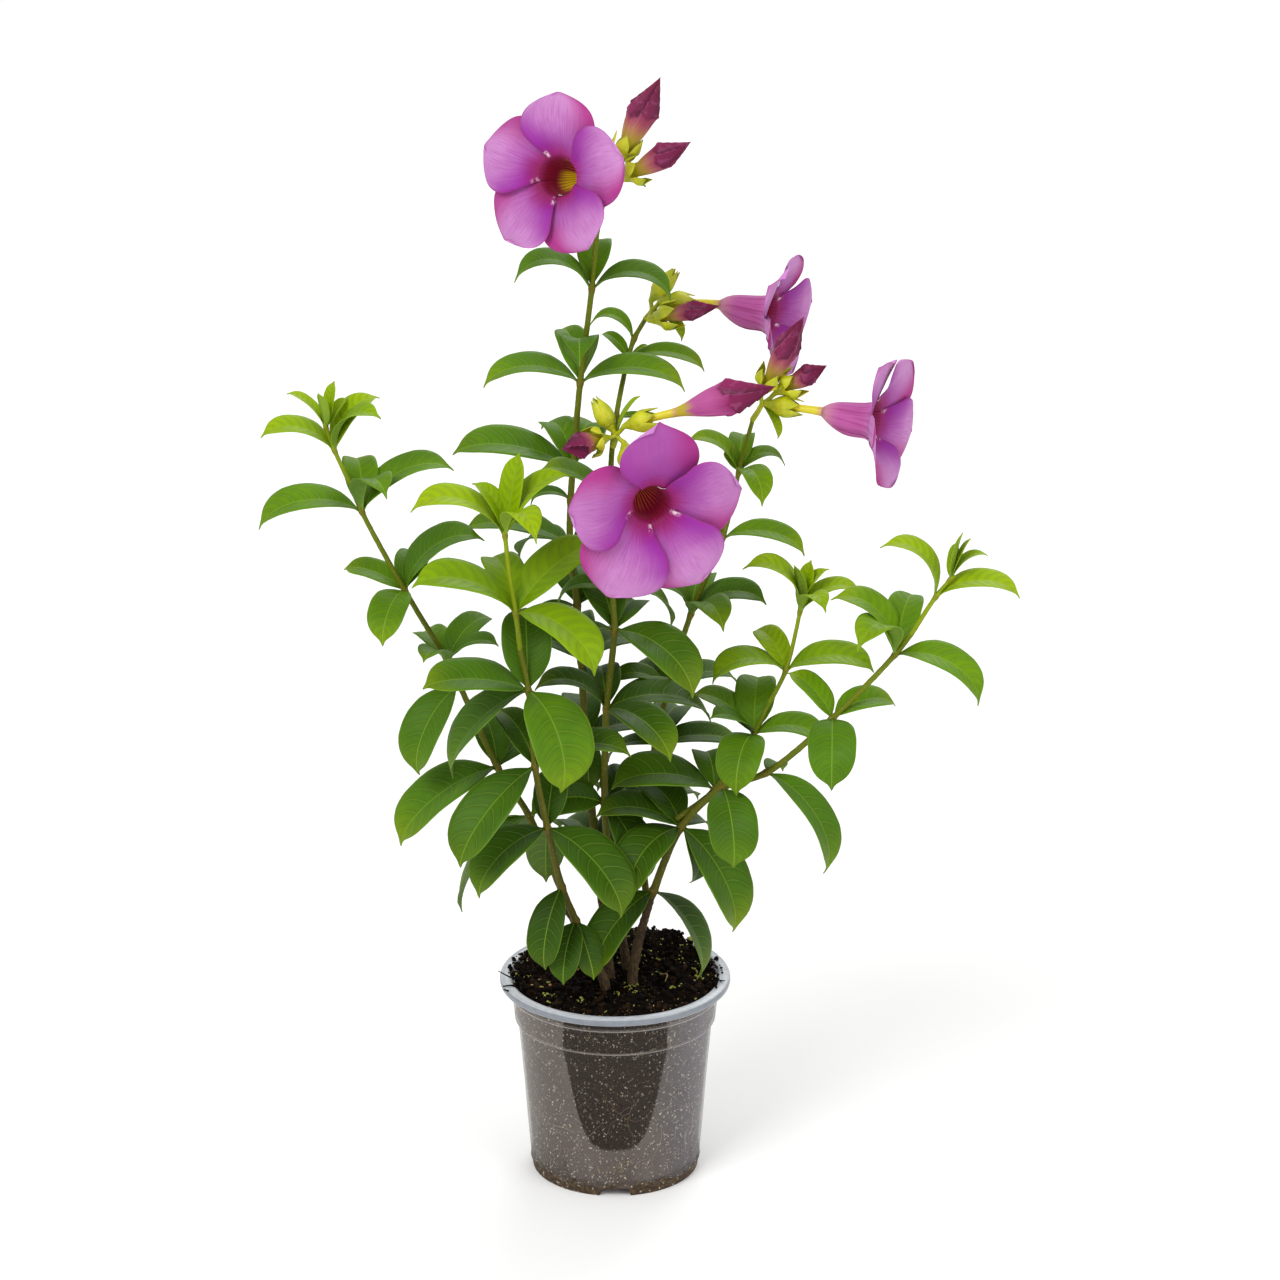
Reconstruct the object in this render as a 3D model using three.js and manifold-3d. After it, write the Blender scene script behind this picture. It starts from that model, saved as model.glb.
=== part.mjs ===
// Potted allamanda: a purple trumpet vine in a clear grow pot.
// Millimetres, +Z up. All places below are given from the pot's axis on the surface
// that it stands on, +X to the right and +Y away from the front. At the end the whole
// plant is moved so that its origin is the middle of its underside.

import * as THREE from 'three';
import { mergeVertices } from 'three/addons/utils/BufferGeometryUtils.js';
import Module from 'manifold-3d';

const wasm = await Module();
wasm.setup();

// Gap that two neighbouring pieces keep where they meet.
const SEAT_GAP = 0.3;
// Slivers smaller than this are smoothed away.
const SMALLEST_DETAIL = 0.15;

// Pot: a thin clear shell with a wide rim, a step under it and a raised floor.
const POT_HEIGHT = 107.5;
const POT_WALL = 1.2;
const POT_SIDES = 32;
const RIM_RADIUS = 60;
const RIM_THICKNESS = 4;
const COLLAR_RADIUS = 54.5;
const COLLAR_Z = 98;
const STEP_Z = 84;
const STEP_TOP_RADIUS = 52.4;
const STEP_LOW_RADIUS = 50.8;
const FOOT_RADIUS = 43.3;
const FOOT_RIDGE_Z = 5.5;
const FOOT_RIDGE_RADIUS = 44.2;
const FOOT_WALL = 2.4;
const FLOOR_Z = 5.2;
const FOOT_NOTCHES = 3;
const FOOT_NOTCH_WIDTH = 15;
const FOOT_NOTCH_HEIGHT = 4.4;
const DRAIN_HOLES = 4;
const DRAIN_RADIUS = 4;
const DRAIN_CIRCLE = 24;

// Soil: fills the shell to just under the rim, with a lumpy top.
const SOIL_EDGE_Z = 106;
const SOIL_MIDDLE_RISE = 3;
const SOIL_MOUND = { x: 29, y: 39, rise: 6.5, halfLength: 24, halfWidth: 13 };
const SOIL_ROUGHNESS = 1.2;
const SOIL_SIDES = 26;
const SOIL_LUMPS = 9;

// Leaf blades: a kite section, thickest at the midrib.
const BLADE_THICKNESS = 1.2;
const LEAF_ROOT_OFFSET = 0.5;
const LEAF_FOLD = THREE.MathUtils.degToRad(16);
const LEAF_LEAN = THREE.MathUtils.degToRad(13);
const LEAF_STATIONS = [0.3, 0.62, 0.88];
const LEAF_HALF_WIDTHS = [0.88, 0.92, 0.28];
const STEM_SIDES = 5;
const WOOD_SIDES = 7;
const STEM_STEP = 19;
const STEM_TIP = 2.5;

// Flowers: a yellow tube, a purple funnel and five lobes that overlap like a pinwheel.
const FUNNEL_LENGTH = 27;
const FUNNEL_PROFILE = [[2.4, 1], [4.6, 0.84], [7.4, 0.54], [8.2, 0.22], [10.4, 0]];
const PETAL_THICKNESS = 0.8;
const LOBES = 5;
const LOBE_REACH = [0.22, 0.5, 0.82, 1];
const LOBE_HALF_WIDTH = [0.14, 0.44, 0.46, 0.2];
const LOBE_FORWARD = [-0.03, 0.12, 0.18, 0.16];
const LOBE_ACROSS = [-1, 0.1, 1];
const LOBE_PITCH = 0.065;
const TUBE_RADII = [2.1, 2.1];
const TUBE_SIDES = 7;
const BUD_STATIONS = [0, 0.2, 0.42, 0.6, 0.82];
const BUD_WIDTHS = [0.25, 0.5, 0.82, 1, 0.5];
const BUD_SHOULDER = 0.4;
const BUD_TWIST = 0.9;
const BUD_RIDGE = 0.08;
const BUD_HOLLOW = 0.1;
const SEPALS = 5;
const SEPAL_HALF_WIDTH = 2.5;
const SEPAL_RADIUS = 4.9;
const CUP_DEPTH = 4.5;
// How far the sepals lean out round an open flower, a furled bud and a calyx that holds none.
const OPEN_SPREAD = 0;
const BUD_SPREAD = 2;
const EMPTY_SPREAD = -1;
const EMPTY_SEPAL_LENGTH = 17;
const BRACT_WIDTH_RATIO = 0.3;
const STALK_RADIUS = 1.3;

const UP = new THREE.Vector3(0, 0, 1);

// One colour and finish for each kind of surface.
const FINISHES = {
  pot: { color: 0xb9bcc4, roughness: 0.25, metalness: 0 },
  soil: { color: 0x24170d, roughness: 0.95, metalness: 0 },
  wood: { color: 0x4a3220, roughness: 0.75, metalness: 0 },
  leaf: { color: 0x4a7d1e, roughness: 0.5, metalness: 0 },
  darkLeaf: { color: 0x2e5a14, roughness: 0.5, metalness: 0 },
  youngLeaf: { color: 0x93a90c, roughness: 0.45, metalness: 0 },
  calyx: { color: 0xb4be1c, roughness: 0.5, metalness: 0 },
  tube: { color: 0xe2d51c, roughness: 0.45, metalness: 0 },
  petal: { color: 0xc26ac2, roughness: 0.55, metalness: 0 },
  bud: { color: 0x8a2c62, roughness: 0.5, metalness: 0 },
};

// Woody shoots that stand in the soil. Each forks into branches: `to` names the leafy
// stem that grows on, and a branch without it ends as a cut stub.
const WOODY_SHOOTS = [
  {
    name: 'wood_left',
    branches: [
      {
        to: 'stem_left',
        radii: [3.1, 1.9],
        route: [[-5, -20, 78], [-5, -19, 109], [-17, -12, 131], [-21, -11, 141]],
      },
      {
        to: 'stem_front',
        radii: [3.1, 2.0],
        route: [[-5, -20, 78], [-5, -19, 109], [-14, -22, 130], [-17, -24, 139]],
      },
      { radii: [2.4, 2.0], route: [[-12, -19, 127], [-18, -19, 141], [-26, -20, 153]] },
    ],
  },
  {
    name: 'wood_centre',
    branches: [
      { to: 'stem_tall', radii: [3.3, 2.2], route: [[-3, -5, 78], [-3, -6, 109], [-8, 1, 160]] },
    ],
  },
  {
    name: 'wood_back',
    branches: [
      { to: 'stem_middle', radii: [2.8, 2.1], route: [[7, 5, 78], [6, 4, 109], [0, -5, 153]] },
    ],
  },
  {
    name: 'wood_right',
    branches: [
      {
        to: 'stem_back',
        radii: [3.2, 1.9],
        route: [[10, -15, 78], [9, -14, 109], [12, -9, 131], [16.5, -7, 145], [16, -5, 155]],
      },
      {
        to: 'stem_right',
        radii: [3.2, 2.1],
        route: [[10, -15, 78], [9, -14, 109], [13, -12, 133], [19, -18, 159]],
      },
    ],
  },
];

// Leafy stems, from the bottom up. A stop is [place, width for length, leaves], and a
// leaf is [right, back, up, arch, roll]: where its tip lies from the stem, how far the
// middle of the blade rises off the straight line from root to tip, and how many degrees
// it is turned about its midrib, if at all.
const LEAFY_STEMS = [
  {
    name: 'stem_left',
    finish: 'darkLeaf',
    radii: [1.9, 1.2],
    stops: [
      [[-44, -8, 199], 0.42, [[-35, 10, -58, 8], [-11, 30, -40, 8]]],
      [[-60, -6, 225], 0.5, [[-49, -16, -37, 9], [-9, 26, 19, 8], [20, 24, 4, 6]]],
      [[-79, -6, 270], 0.48, [[-20, -16, -43, 9]]],
      [[-85, -6, 283], 0.46, [[22, 24, 14, 7], [26, -8, 11, 6], [-11, -26, 9, 6], [-15, 28, 2, 8]]],
      [[-106, -6, 321], 0.48, [[-31, 12, 7, 5], [-10, -30, -19, 9], [40, 5, 25, 12], [7, 30, 6, 9]]],
      [[-127, -8, 364], 0.42, [[-51, -8, -7, 11], [46, 5, 20, 11], [-5, 28, 17, 12], [14, -28, 16, 13]]],
      [[-133, -9, 380], 0, []],
    ],
  },
  {
    name: 'tip_left',
    finish: 'youngLeaf',
    from: 'stem_left',
    radii: [1.2, 0.9],
    stops: [
      [[-140, -10, 397], 0.4, [[-36, -5, 8, 9], [22, 14, 23, 8], [24, -14, 21, 10]]],
      [[-144, -10, 409], 0.3, [[-19, 2, 17, 4], [-3, -6, 20, 1], [4, 4, 23, 1], [10, 10, 12, 3]]],
    ],
  },
  {
    name: 'stem_front',
    finish: 'darkLeaf',
    radii: [2.0, 1.4],
    stops: [
      [[-20, -26, 148], 0.45, [[-6, -22, -26, 6], [9, -18, -25, 4]]],
      [[-27, -31, 169], 0.42, [[-8, -16, -39, 7]]],
      [[-34, -40, 205], 0.5, [[-34, -20, -30, 9], [37, -24, -39, 10], [-1, 12, -35, 8], [4, 24, 22, 6]]],
      [[-40, -44, 240], 0.46, [[-37, -24, -45, 8], [-20, 24, 21, 7], [48, -14, 11, 9], [19, 34, 12, 8]]],
      [[-43, -46, 282], 0.54, [[-52, -14, 6, 6], [-38, 4, -49, 9], [-2, 28, 34, 8], [16, -26, -45, 14]]],
      [[-47, -47, 305], 0, []],
    ],
  },
  {
    name: 'tip_front',
    finish: 'youngLeaf',
    from: 'stem_front',
    radii: [1.4, 1.1],
    stops: [
      [[-49, -48, 324], 0.44, [[-51, -8, 16, 11], [39, -26, -24, 12], [42, 28, 25, 9],
        [-14, 34, 16, 10]]],
      [[-52, -48, 345], 0, []],
      [[-54, -48, 365], 0.36, [[-46, -6, 14, 13], [32, 8, 28, 9], [7, 6, 41, 1], [-16, 6, 25, 6],
        [16, -28, 5, 14]]],
    ],
  },
  {
    name: 'stem_tall',
    finish: 'leaf',
    radii: [2.2, 1.3],
    stops: [
      [[-10, 3, 178], 0.44, [[-19, 34, -5, 9], [34, 26, -14, 7]]],
      [[-15, 7, 235], 0.44, [[-29, 20, -5, 9], [38, 22, -9, 9], [-3, 40, 7, 10], [2, -18, -21, 8]]],
      [[-17, 8, 278], 0.44, [[-37, 10, 2, 9], [30, 26, -4, 9], [-4, 36, 9, 10]]],
      [[-19, 8, 308], 0.44, [[-19, -10, -15, 8], [-10, 34, 12, 9], [32, 26, -1, 10]]],
      [[-22.5, 8, 341], 0.4, [[-53, -2, 8, 7], [-26, 24, -16, 9], [41, 22, -5, 10]]],
      [[-22, 8, 365], 0.36, [[-20, 2, -4, 6]]],
      [[-21, 8, 381], 0.42, [[-60, -4, 9, 9], [-16, 26, 13, 12], [13, 28, 12, 12]]],
      [[-17, 8, 427], 0.4, [[-48, -6, -1, 10], [52, -6, -3, 10], [-10, 24, 20, 10], [0, -26, 16, 18]]],
      [[-11, 4, 477], 0.4, [[-38, -6, 5, 13], [39, -8, -4, 12], [1, 30, 11, 14]]],
      [[-7.8, 2, 510], 0, []],
      [[-3, 0, 530], 0, []],
    ],
  },
  {
    name: 'stem_middle',
    finish: 'leaf',
    radii: [2.1, 1.2],
    stops: [
      [[-3, -11, 178], 0.44, [[8, 38, 3, 8]]],
      [[-5, -16, 209], 0.46, [[-37, -12, -2, 7, -36], [16, -14, -40, 9], [18, 32, 0, 9], [-24, 14, -8, 3]]],
      [[-4, -16, 261], 0.44, [[-36, -6, 12, 10], [32, -36, -15, 9], [53, 16, -14, 11], [-4, 38, 7, 8]]],
      [[0, -16, 303], 0.46, [[-16, 36, 22, 9], [12, 36, 0, 8], [-21, -10, -9, 7], [39, -28, -26, 12]]],
      [[-1, -14, 324], 0.42, [[29, 12, -25, 10], [-27, 8, -12, 8]]],
      [[-2, -11, 369], 0.5, [[-34, -6, 20, 6]]],
      [[-1, -8, 397], 0, []],
      [[1, -4, 412], 0.34, [[18, -3, -2, 3], [-7, 8, -22, 4]]],
      [[4, 14, 424], 0, []],
      [[7, 26, 434], 0.34, [[38, -6, -5, 7], [-13, 12, 9, 4], [9, -2, 8, 1]]],
      [[10, 30, 443], 0.34, [[-22, 4, 6, 9]]],
      [[16, 33.5, 453], 0, []],
    ],
  },
  {
    name: 'stem_back',
    finish: 'leaf',
    radii: [1.9, 1.1],
    stops: [
      [[13, 4, 196], 0.44, [[30, 28, -4, 9], [-22, 30, 0, 9]]],
      [[21, 10, 231], 0.42, [[44, 8, -4, 6], [-24, 12, -14, 6], [14, 38, 4, 9]]],
      [[27, 12, 260], 0.44, [[-28, -6, 6, 8], [-19, 26, 1, 8], [36, 16, -2, 8], [12, 34, 7, 9]]],
      [[39, 12, 302], 0.44, [[38, -6, 7, 10], [16, -32, 2, 11], [-20, -4, 15, 7], [8, 34, 6, 9]]],
      [[55, 12, 343], 0.36, [[41, -8, -7, 9], [-16, 24, 6, 8]]],
      [[63, 8, 380], 0.4, [[23, 6, 1, 8], [11, -26, -10, 10], [-26, 2, 15, 8], [-7, 8, 8, 1],
        [-3, 2, 13, 1], [4, 26, 9, 8]]],
      [[69.6, -2, 411], 0, []],
    ],
  },
  {
    name: 'stem_right',
    finish: 'leaf',
    radii: [2.1, 1.3],
    stops: [
      [[20, -19, 162], 0.5, [[-29, -18, -39, 8], [22, -6, -47, 10]]],
      [[34, -26, 200], 0.52, [[-25, -24, -30, 12], [26, -14, -52, 9], [4, -2, -30, 7], [-43, -2, 6, 8],
        [-21, 28, 10, 9], [16, 20, -11, 5]]],
      [[55, -32, 224], 0.52, [[5, -24, -34, 12]]],
      [[77, -34, 233], 0.36, [[29, -8, -52, 12], [9, 22, -8, 5]]],
      [[110, -38, 264], 0.5, [[-22, 14, 19, 4], [32, 12, 2, 7], [-1, -28, -28, 13]]],
      [[141, -40, 299], 0.42, [[10, 32, 20, 9], [-20, -26, 11, 15], [-32, 6, 27, 12],
        [41, -12, -23, 12]]],
      [[149, -40, 310], 0, []],
    ],
  },
  {
    name: 'tip_right',
    finish: 'youngLeaf',
    from: 'stem_right',
    radii: [1.3, 1.0],
    stops: [
      [[161, -40, 330], 0.38, [[-28, 2, 25, 12], [41, -6, 1, 9]]],
      [[168, -40, 339], 0.3, [[5, -3, 26, 1], [3, 5, 18, 1], [9, -1, 22, 1], [18, 2, 12, 5]]],
    ],
  },
  {
    name: 'stem_side',
    finish: 'leaf',
    radii: [1.5, 1.2],
    stops: [
      [[32.4, -26.4, 205.4], 0, []],
      [[51, -22, 219], 0.52, [[-52, -12, 5, 9], [-6, 26, 8, 9]]],
      [[71, -16, 247], 0.5, [[3, 30, 19, 10], [-31, 6, 19, 6], [-22, -14, 14, 5], [36, -6, -4, 8],
        [-9, -28, -23, 13]]],
      [[79, -15, 264], 0, []],
    ],
  },
  {
    name: 'tip_side',
    finish: 'youngLeaf',
    from: 'stem_side',
    radii: [1.2, 1.0],
    stops: [
      [[87, -14, 281], 0.44, [[-37, -12, -3, 10], [-15, 22, 13, 7], [44, -6, 1, 9]]],
      [[94, -12, 312], 0.36, [[-29, -4, 24, 12], [5, 4, 26, 1], [-3, -3, 26, 2], [14, 2, 22, 4],
        [31, 4, 7, 9], [12, -24, 8, 9]]],
    ],
  },
];

// Flower heads. Each starts at the end of a stem, or at a foot beside one, and carries
// calyces on short stalks. An open flower faces along `face` with the middle of its mouth
// at `mouth`, turned by `spin` degrees; a bud runs from its calyx to `tip`; an empty calyx
// has lost its flower. A bract is a small leaf, given like the leaves above.
const FLOWER_HEADS = [
  {
    name: 'top',
    from: 'stem_tall',
    centre: [-2, 0, 534],
    flowers: [
      {
        calyx: [-4, -2, 537],
        mouth: [-27, -34, 545],
        face: [-0.49, -0.84, 0.24],
        spin: 88,
        radius: 40.5,
        sepal: 10,
      },
    ],
    buds: [
      { calyx: [4, 3, 545], tip: [23, 8, 584], radius: 8.2, sepal: 12 },
      { calyx: [7, -4, 537], tip: [38, -10, 556], radius: 7.0, sepal: 10 },
    ],
    empties: [],
    bracts: [[18, -6, -2, 2], [-2, 6, 22, 1]],
  },
  {
    name: 'upper',
    from: 'stem_middle',
    centre: [19, 34, 457],
    flowers: [
      {
        calyx: [27, 32, 462],
        mouth: [79.2, 26, 457.4],
        face: [0.95, -0.3, -0.09],
        spin: 64,
        radius: 34,
        cup: 1.6,
        sepal: 15,
      },
    ],
    buds: [{ calyx: [21, 26, 455], tip: [53, 18, 464], radius: 5.2, sepal: 14 }],
    empties: [{ calyx: [21, 38, 464], tip: [28, 38, 473] }],
    bracts: [[15, -8, -14, 5]],
  },
  {
    name: 'front',
    foot: [-0.3, -9.8, 399.3],
    centre: [1, -13, 406],
    flowers: [
      {
        calyx: [6, -18, 400],
        mouth: [19, -60, 385],
        face: [0.275, -0.96, -0.08],
        spin: 85,
        radius: 46,
        sepal: 13,
      },
    ],
    buds: [
      { calyx: [9, -17, 413], tip: [80, -31, 437], radius: 9.6, sepal: 15, tube: 24 },
      { calyx: [-6, -17, 405], tip: [-26, -30, 404], radius: 7.2, sepal: 9 },
    ],
    empties: [{ calyx: [-2, -12, 411], tip: [-12, -8, 427] }],
    bracts: [[12, -2, 21, 2]],
  },
  {
    name: 'back',
    from: 'stem_back',
    centre: [74, -6, 420],
    flowers: [
      {
        calyx: [80, -8, 420],
        mouth: [130, -22, 416],
        face: [0.95, -0.3, -0.09],
        spin: 44,
        radius: 34.5,
        cup: 1.6,
        sepal: 15,
      },
    ],
    buds: [
      { calyx: [75, -9, 429], tip: [94, -18, 469], radius: 6.8, sepal: 13 },
      { calyx: [84, -7, 428], tip: [106, -12, 442], radius: 5.8, sepal: 11 },
    ],
    empties: [],
    bracts: [[8, -4, -17, 3]],
  },
];

const vec = (place) => new THREE.Vector3(...place);

// Repeatable random numbers between 0 and 1.
function seeded(seed) {
  let state = seed;
  return () => {
    state = (state * 1664525 + 1013904223) % 4294967296;
    return state / 4294967296;
  };
}

// Six times the volume inside a triangle list; negative if its faces point inwards.
function signedVolume(points, faces) {
  return faces.reduce((sum, [a, b, c]) => {
    const cross = new THREE.Vector3().crossVectors(points[b], points[c]);
    return sum + points[a].dot(cross);
  }, 0);
}

// A closed solid from points and triangles, turned so that its faces point outwards.
function solidFromFaces(points, faces) {
  const outward = signedVolume(points, faces) > 0;
  const ordered = outward ? faces : faces.map(([a, b, c]) => [a, c, b]);
  return new wasm.Manifold(new wasm.Mesh({
    numProp: 3,
    vertProperties: new Float32Array(points.flatMap((point) => point.toArray())),
    triVerts: new Uint32Array(ordered.flat()),
  }));
}

// A closed solid from a three.js geometry.
function solidFromGeometry(geometry) {
  geometry.deleteAttribute('normal');
  geometry.deleteAttribute('uv');
  const merged = mergeVertices(geometry, 1e-4);
  const places = merged.getAttribute('position');
  const points = [...Array(places.count).keys()].map(
    (i) => new THREE.Vector3().fromBufferAttribute(places, i));
  const index = merged.getIndex().array;
  const faces = [];
  for (let i = 0; i < index.length; i += 3) {
    faces.push([index[i], index[i + 1], index[i + 2]]);
  }
  return solidFromFaces(points, faces.filter(([a, b, c]) => a !== b && b !== c && c !== a));
}

const fuse = (solids) => solids.reduce((whole, solid) => whole.add(solid));

// The largest piece of a solid, without loose scraps and sealed pockets.
function mainPiece(solid) {
  const pieces = solid.decompose().filter((piece) => piece.volume() > 0);
  return pieces.reduce((largest, piece) => (piece.volume() > largest.volume() ? piece : largest));
}

// The number of straight steps that a tube along a curve has.
const stepCount = (curve) => Math.max(1, Math.round(curve.getLength() / STEM_STEP));

// A tube along a curve that narrows from one radius to the other, closed at both ends.
function taperedTube(curve, radii, sides) {
  const steps = stepCount(curve);
  const corners = [...Array(sides).keys()].map((k) => 2 * Math.PI * k / sides);
  const section = new THREE.Shape(corners.map(
    (angle) => new THREE.Vector2(radii[0] * Math.cos(angle), radii[0] * Math.sin(angle))));
  const geometry = new THREE.ExtrudeGeometry(section, { steps, extrudePath: curve, bevelEnabled: false });
  const centres = curve.getSpacedPoints(steps);
  const places = geometry.getAttribute('position');
  const point = new THREE.Vector3();
  for (let i = 0; i < places.count; i += 1) {
    point.fromBufferAttribute(places, i);
    const gaps = centres.map((centre) => centre.distanceTo(point));
    const nearest = gaps.indexOf(Math.min(...gaps));
    const scale = THREE.MathUtils.lerp(radii[0], radii[1], nearest / steps) / radii[0];
    point.sub(centres[nearest]).multiplyScalar(scale).add(centres[nearest]);
    places.setXYZ(i, ...point);
  }
  return solidFromGeometry(geometry);
}

const stemCurve = (places) => new THREE.CatmullRomCurve3(places.map(vec), false, 'centripetal');

// The midrib of a blade: it leaves its root steeply, arches over and drops to its tip.
function midrib(root, reach, arch) {
  const tip = root.clone().add(reach);
  const side = new THREE.Vector3().crossVectors(reach, UP).normalize();
  const lift = new THREE.Vector3().crossVectors(side, reach).setLength(arch / 0.75);
  const first = root.clone().addScaledVector(reach, 0.28).add(lift);
  const second = root.clone().addScaledVector(reach, 0.86).add(lift);
  return { curve: new THREE.CubicBezierCurve3(root, first, second, tip), side };
}

// One leaf blade, folded up along its midrib and leaning a little to the front. `roll` is
// how many degrees it is turned further about its midrib.
function leafBlade(root, reach, arch, widthRatio, roll = 0) {
  const { curve, side } = midrib(root, reach, arch);
  const halfWidth = 0.5 * widthRatio * curve.getLength();
  const lean = LEAF_LEAN * -side.y + THREE.MathUtils.degToRad(roll);
  const points = [];
  LEAF_STATIONS.forEach((t, i) => {
    const centre = curve.getPoint(t);
    const along = curve.getTangent(t);
    const across = side.clone().applyAxisAngle(along, lean);
    const normal = new THREE.Vector3().crossVectors(across, along).normalize();
    const half = halfWidth * LEAF_HALF_WIDTHS[i];
    const out = across.clone().multiplyScalar(half * Math.cos(LEAF_FOLD));
    const rise = normal.clone().multiplyScalar(half * Math.sin(LEAF_FOLD));
    const thick = normal.clone().multiplyScalar(BLADE_THICKNESS / 2);
    points.push(centre.clone().add(out).add(rise), centre.clone().add(thick));
    points.push(centre.clone().sub(out).add(rise), centre.clone().sub(thick));
  });
  points.push(curve.getPoint(0), curve.getPoint(1));
  return solidFromFaces(points, bladeFaces(LEAF_STATIONS.length));
}

// Triangles of a blade whose stations each hold an edge, the top, an edge and the
// underside, with the root and the tip as the last two points.
function bladeFaces(stations) {
  const faces = [];
  for (let i = 0; i + 1 < stations; i += 1) {
    const [edge, top, far, under] = [0, 1, 2, 3].map((k) => 4 * i + k);
    const [edgeNext, topNext, farNext, underNext] = [0, 1, 2, 3].map((k) => 4 * i + 4 + k);
    faces.push([edge, topNext, top], [edge, edgeNext, topNext]);
    faces.push([far, top, topNext], [far, topNext, farNext]);
    faces.push([edge, under, underNext], [edge, underNext, edgeNext]);
    faces.push([far, underNext, under], [far, farNext, underNext]);
  }
  const root = 4 * stations;
  const tip = root + 1;
  const last = 4 * (stations - 1);
  for (let k = 0; k < 4; k += 1) {
    const next = (k + 1) % 4;
    faces.push([root, k, next], [tip, last + next, last + k]);
  }
  return faces;
}

// The place on the axis of a stem's tube, which is straight between its steps, nearest to
// a place on its curve.
function onTube(curve, place) {
  const centres = curve.getSpacedPoints(stepCount(curve));
  const nearest = centres.slice(1).map((centre, i) => (
    new THREE.Line3(centres[i], centre).closestPointToPoint(place, true, new THREE.Vector3())));
  return nearest.reduce((best, point) => (
    point.distanceTo(place) < best.distanceTo(place) ? point : best));
}

// A leafy stem: its tube with every leaf rooted in the middle of it.
function leafyStem(stem, start) {
  const route = [start, ...stem.stops.map(([place]) => place)];
  const [last, lastLeaves] = [vec(route[route.length - 1]), stem.stops[stem.stops.length - 1][2]];
  if (lastLeaves.length > 0) {
    const ahead = last.clone().sub(vec(route[route.length - 2])).setLength(STEM_TIP);
    route.push(last.add(ahead).toArray());
  }
  const curve = stemCurve(route);
  const parts = [taperedTube(curve, stem.radii, STEM_SIDES)];
  stem.stops.forEach(([place, widthRatio, leaves]) => {
    leaves.forEach(([right, back, up, arch, roll]) => {
      const outward = new THREE.Vector3(right, back, 0).setLength(LEAF_ROOT_OFFSET);
      const root = onTube(curve, vec(place)).add(outward);
      parts.push(leafBlade(root, new THREE.Vector3(right, back, up), arch, widthRatio, roll));
    });
  });
  return mainPiece(fuse(parts));
}

// A thin sheet of even thickness over a grid of points, closed round its edge.
function sheet(rows, thickness) {
  const [m, n] = [rows.length, rows[0].length];
  const at = (i, j) => rows[THREE.MathUtils.clamp(i, 0, m - 1)][THREE.MathUtils.clamp(j, 0, n - 1)];
  const normals = rows.map((row, i) => row.map((_, j) => {
    const along = at(i + 1, j).clone().sub(at(i - 1, j));
    const across = at(i, j + 1).clone().sub(at(i, j - 1));
    return along.cross(across).normalize();
  }));
  const face = (sign) => rows.flatMap((row, i) => row.map(
    (point, j) => point.clone().addScaledVector(normals[i][j], sign * thickness / 2)));
  const points = [...face(1), ...face(-1)];
  const under = m * n;
  const faces = [];
  for (let i = 0; i + 1 < m; i += 1) {
    for (let j = 0; j + 1 < n; j += 1) {
      const [a, b, c, d] = [i * n + j, (i + 1) * n + j, (i + 1) * n + j + 1, i * n + j + 1];
      faces.push([a, b, c], [a, c, d]);
      faces.push([under + a, under + c, under + b], [under + a, under + d, under + c]);
    }
  }
  const count = (length) => [...Array(length - 1).keys()];
  const rim = [
    ...count(m).map((i) => i * n),
    ...count(n).map((j) => (m - 1) * n + j),
    ...count(m).map((i) => (m - i) * n - 1),
    ...count(n).map((j) => n - 1 - j),
  ];
  rim.forEach((a, k) => {
    const b = rim[(k + 1) % rim.length];
    faces.push([a, under + b, b], [a, under + a, under + b]);
  });
  return solidFromFaces(points, faces);
}

// A frame at a place whose third axis points along a direction, with `spin` degrees
// turned about it from straight up.
function facing(place, direction, spin) {
  const forward = vec(direction).normalize();
  const right = new THREE.Vector3().crossVectors(UP, forward).normalize();
  const upward = new THREE.Vector3().crossVectors(forward, right);
  const frame = new THREE.Matrix4().makeBasis(right, upward, forward);
  frame.multiply(new THREE.Matrix4().makeRotationZ(THREE.MathUtils.degToRad(spin)));
  return frame.setPosition(...place);
}

// A solid of revolution about its own Z axis from [radius, height] pairs that close.
function turned(profile, sides) {
  const points = [...profile, profile[0]].map(([radius, height]) => new THREE.Vector2(radius, height));
  return new THREE.LatheGeometry(points, sides).rotateX(Math.PI / 2);
}

// The purple part of an open flower, with its mouth in the plane of the frame. `cup` is
// how far its lobes lean forward, 1 where they lie nearly flat.
function corolla(frame, radius, cup) {
  const outside = FUNNEL_PROFILE.map(([wide, depth]) => [wide, -depth * FUNNEL_LENGTH]);
  const inside = outside.map(([wide, height]) => [wide - PETAL_THICKNESS, height]).reverse();
  const funnel = turned([...outside, ...inside], 2 * LOBES).applyMatrix4(frame);
  const lobes = [...Array(LOBES).keys()].map((k) => {
    const turn = new THREE.Matrix4().makeRotationZ(2 * Math.PI * k / LOBES);
    const rows = LOBE_REACH.map((reach, i) => LOBE_ACROSS.map((across) => {
      const sideways = across * LOBE_HALF_WIDTH[i];
      const forward = LOBE_FORWARD[i] * cup + LOBE_PITCH * across * Math.min(1, 2 * reach);
      const round = reach - 0.1 * across * across * reach;
      const point = new THREE.Vector3(round, sideways, forward).multiplyScalar(radius);
      return point.applyMatrix4(turn).applyMatrix4(frame);
    }));
    return sheet(rows, PETAL_THICKNESS);
  });
  return mainPiece(fuse([solidFromGeometry(funnel), ...lobes]));
}

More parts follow.
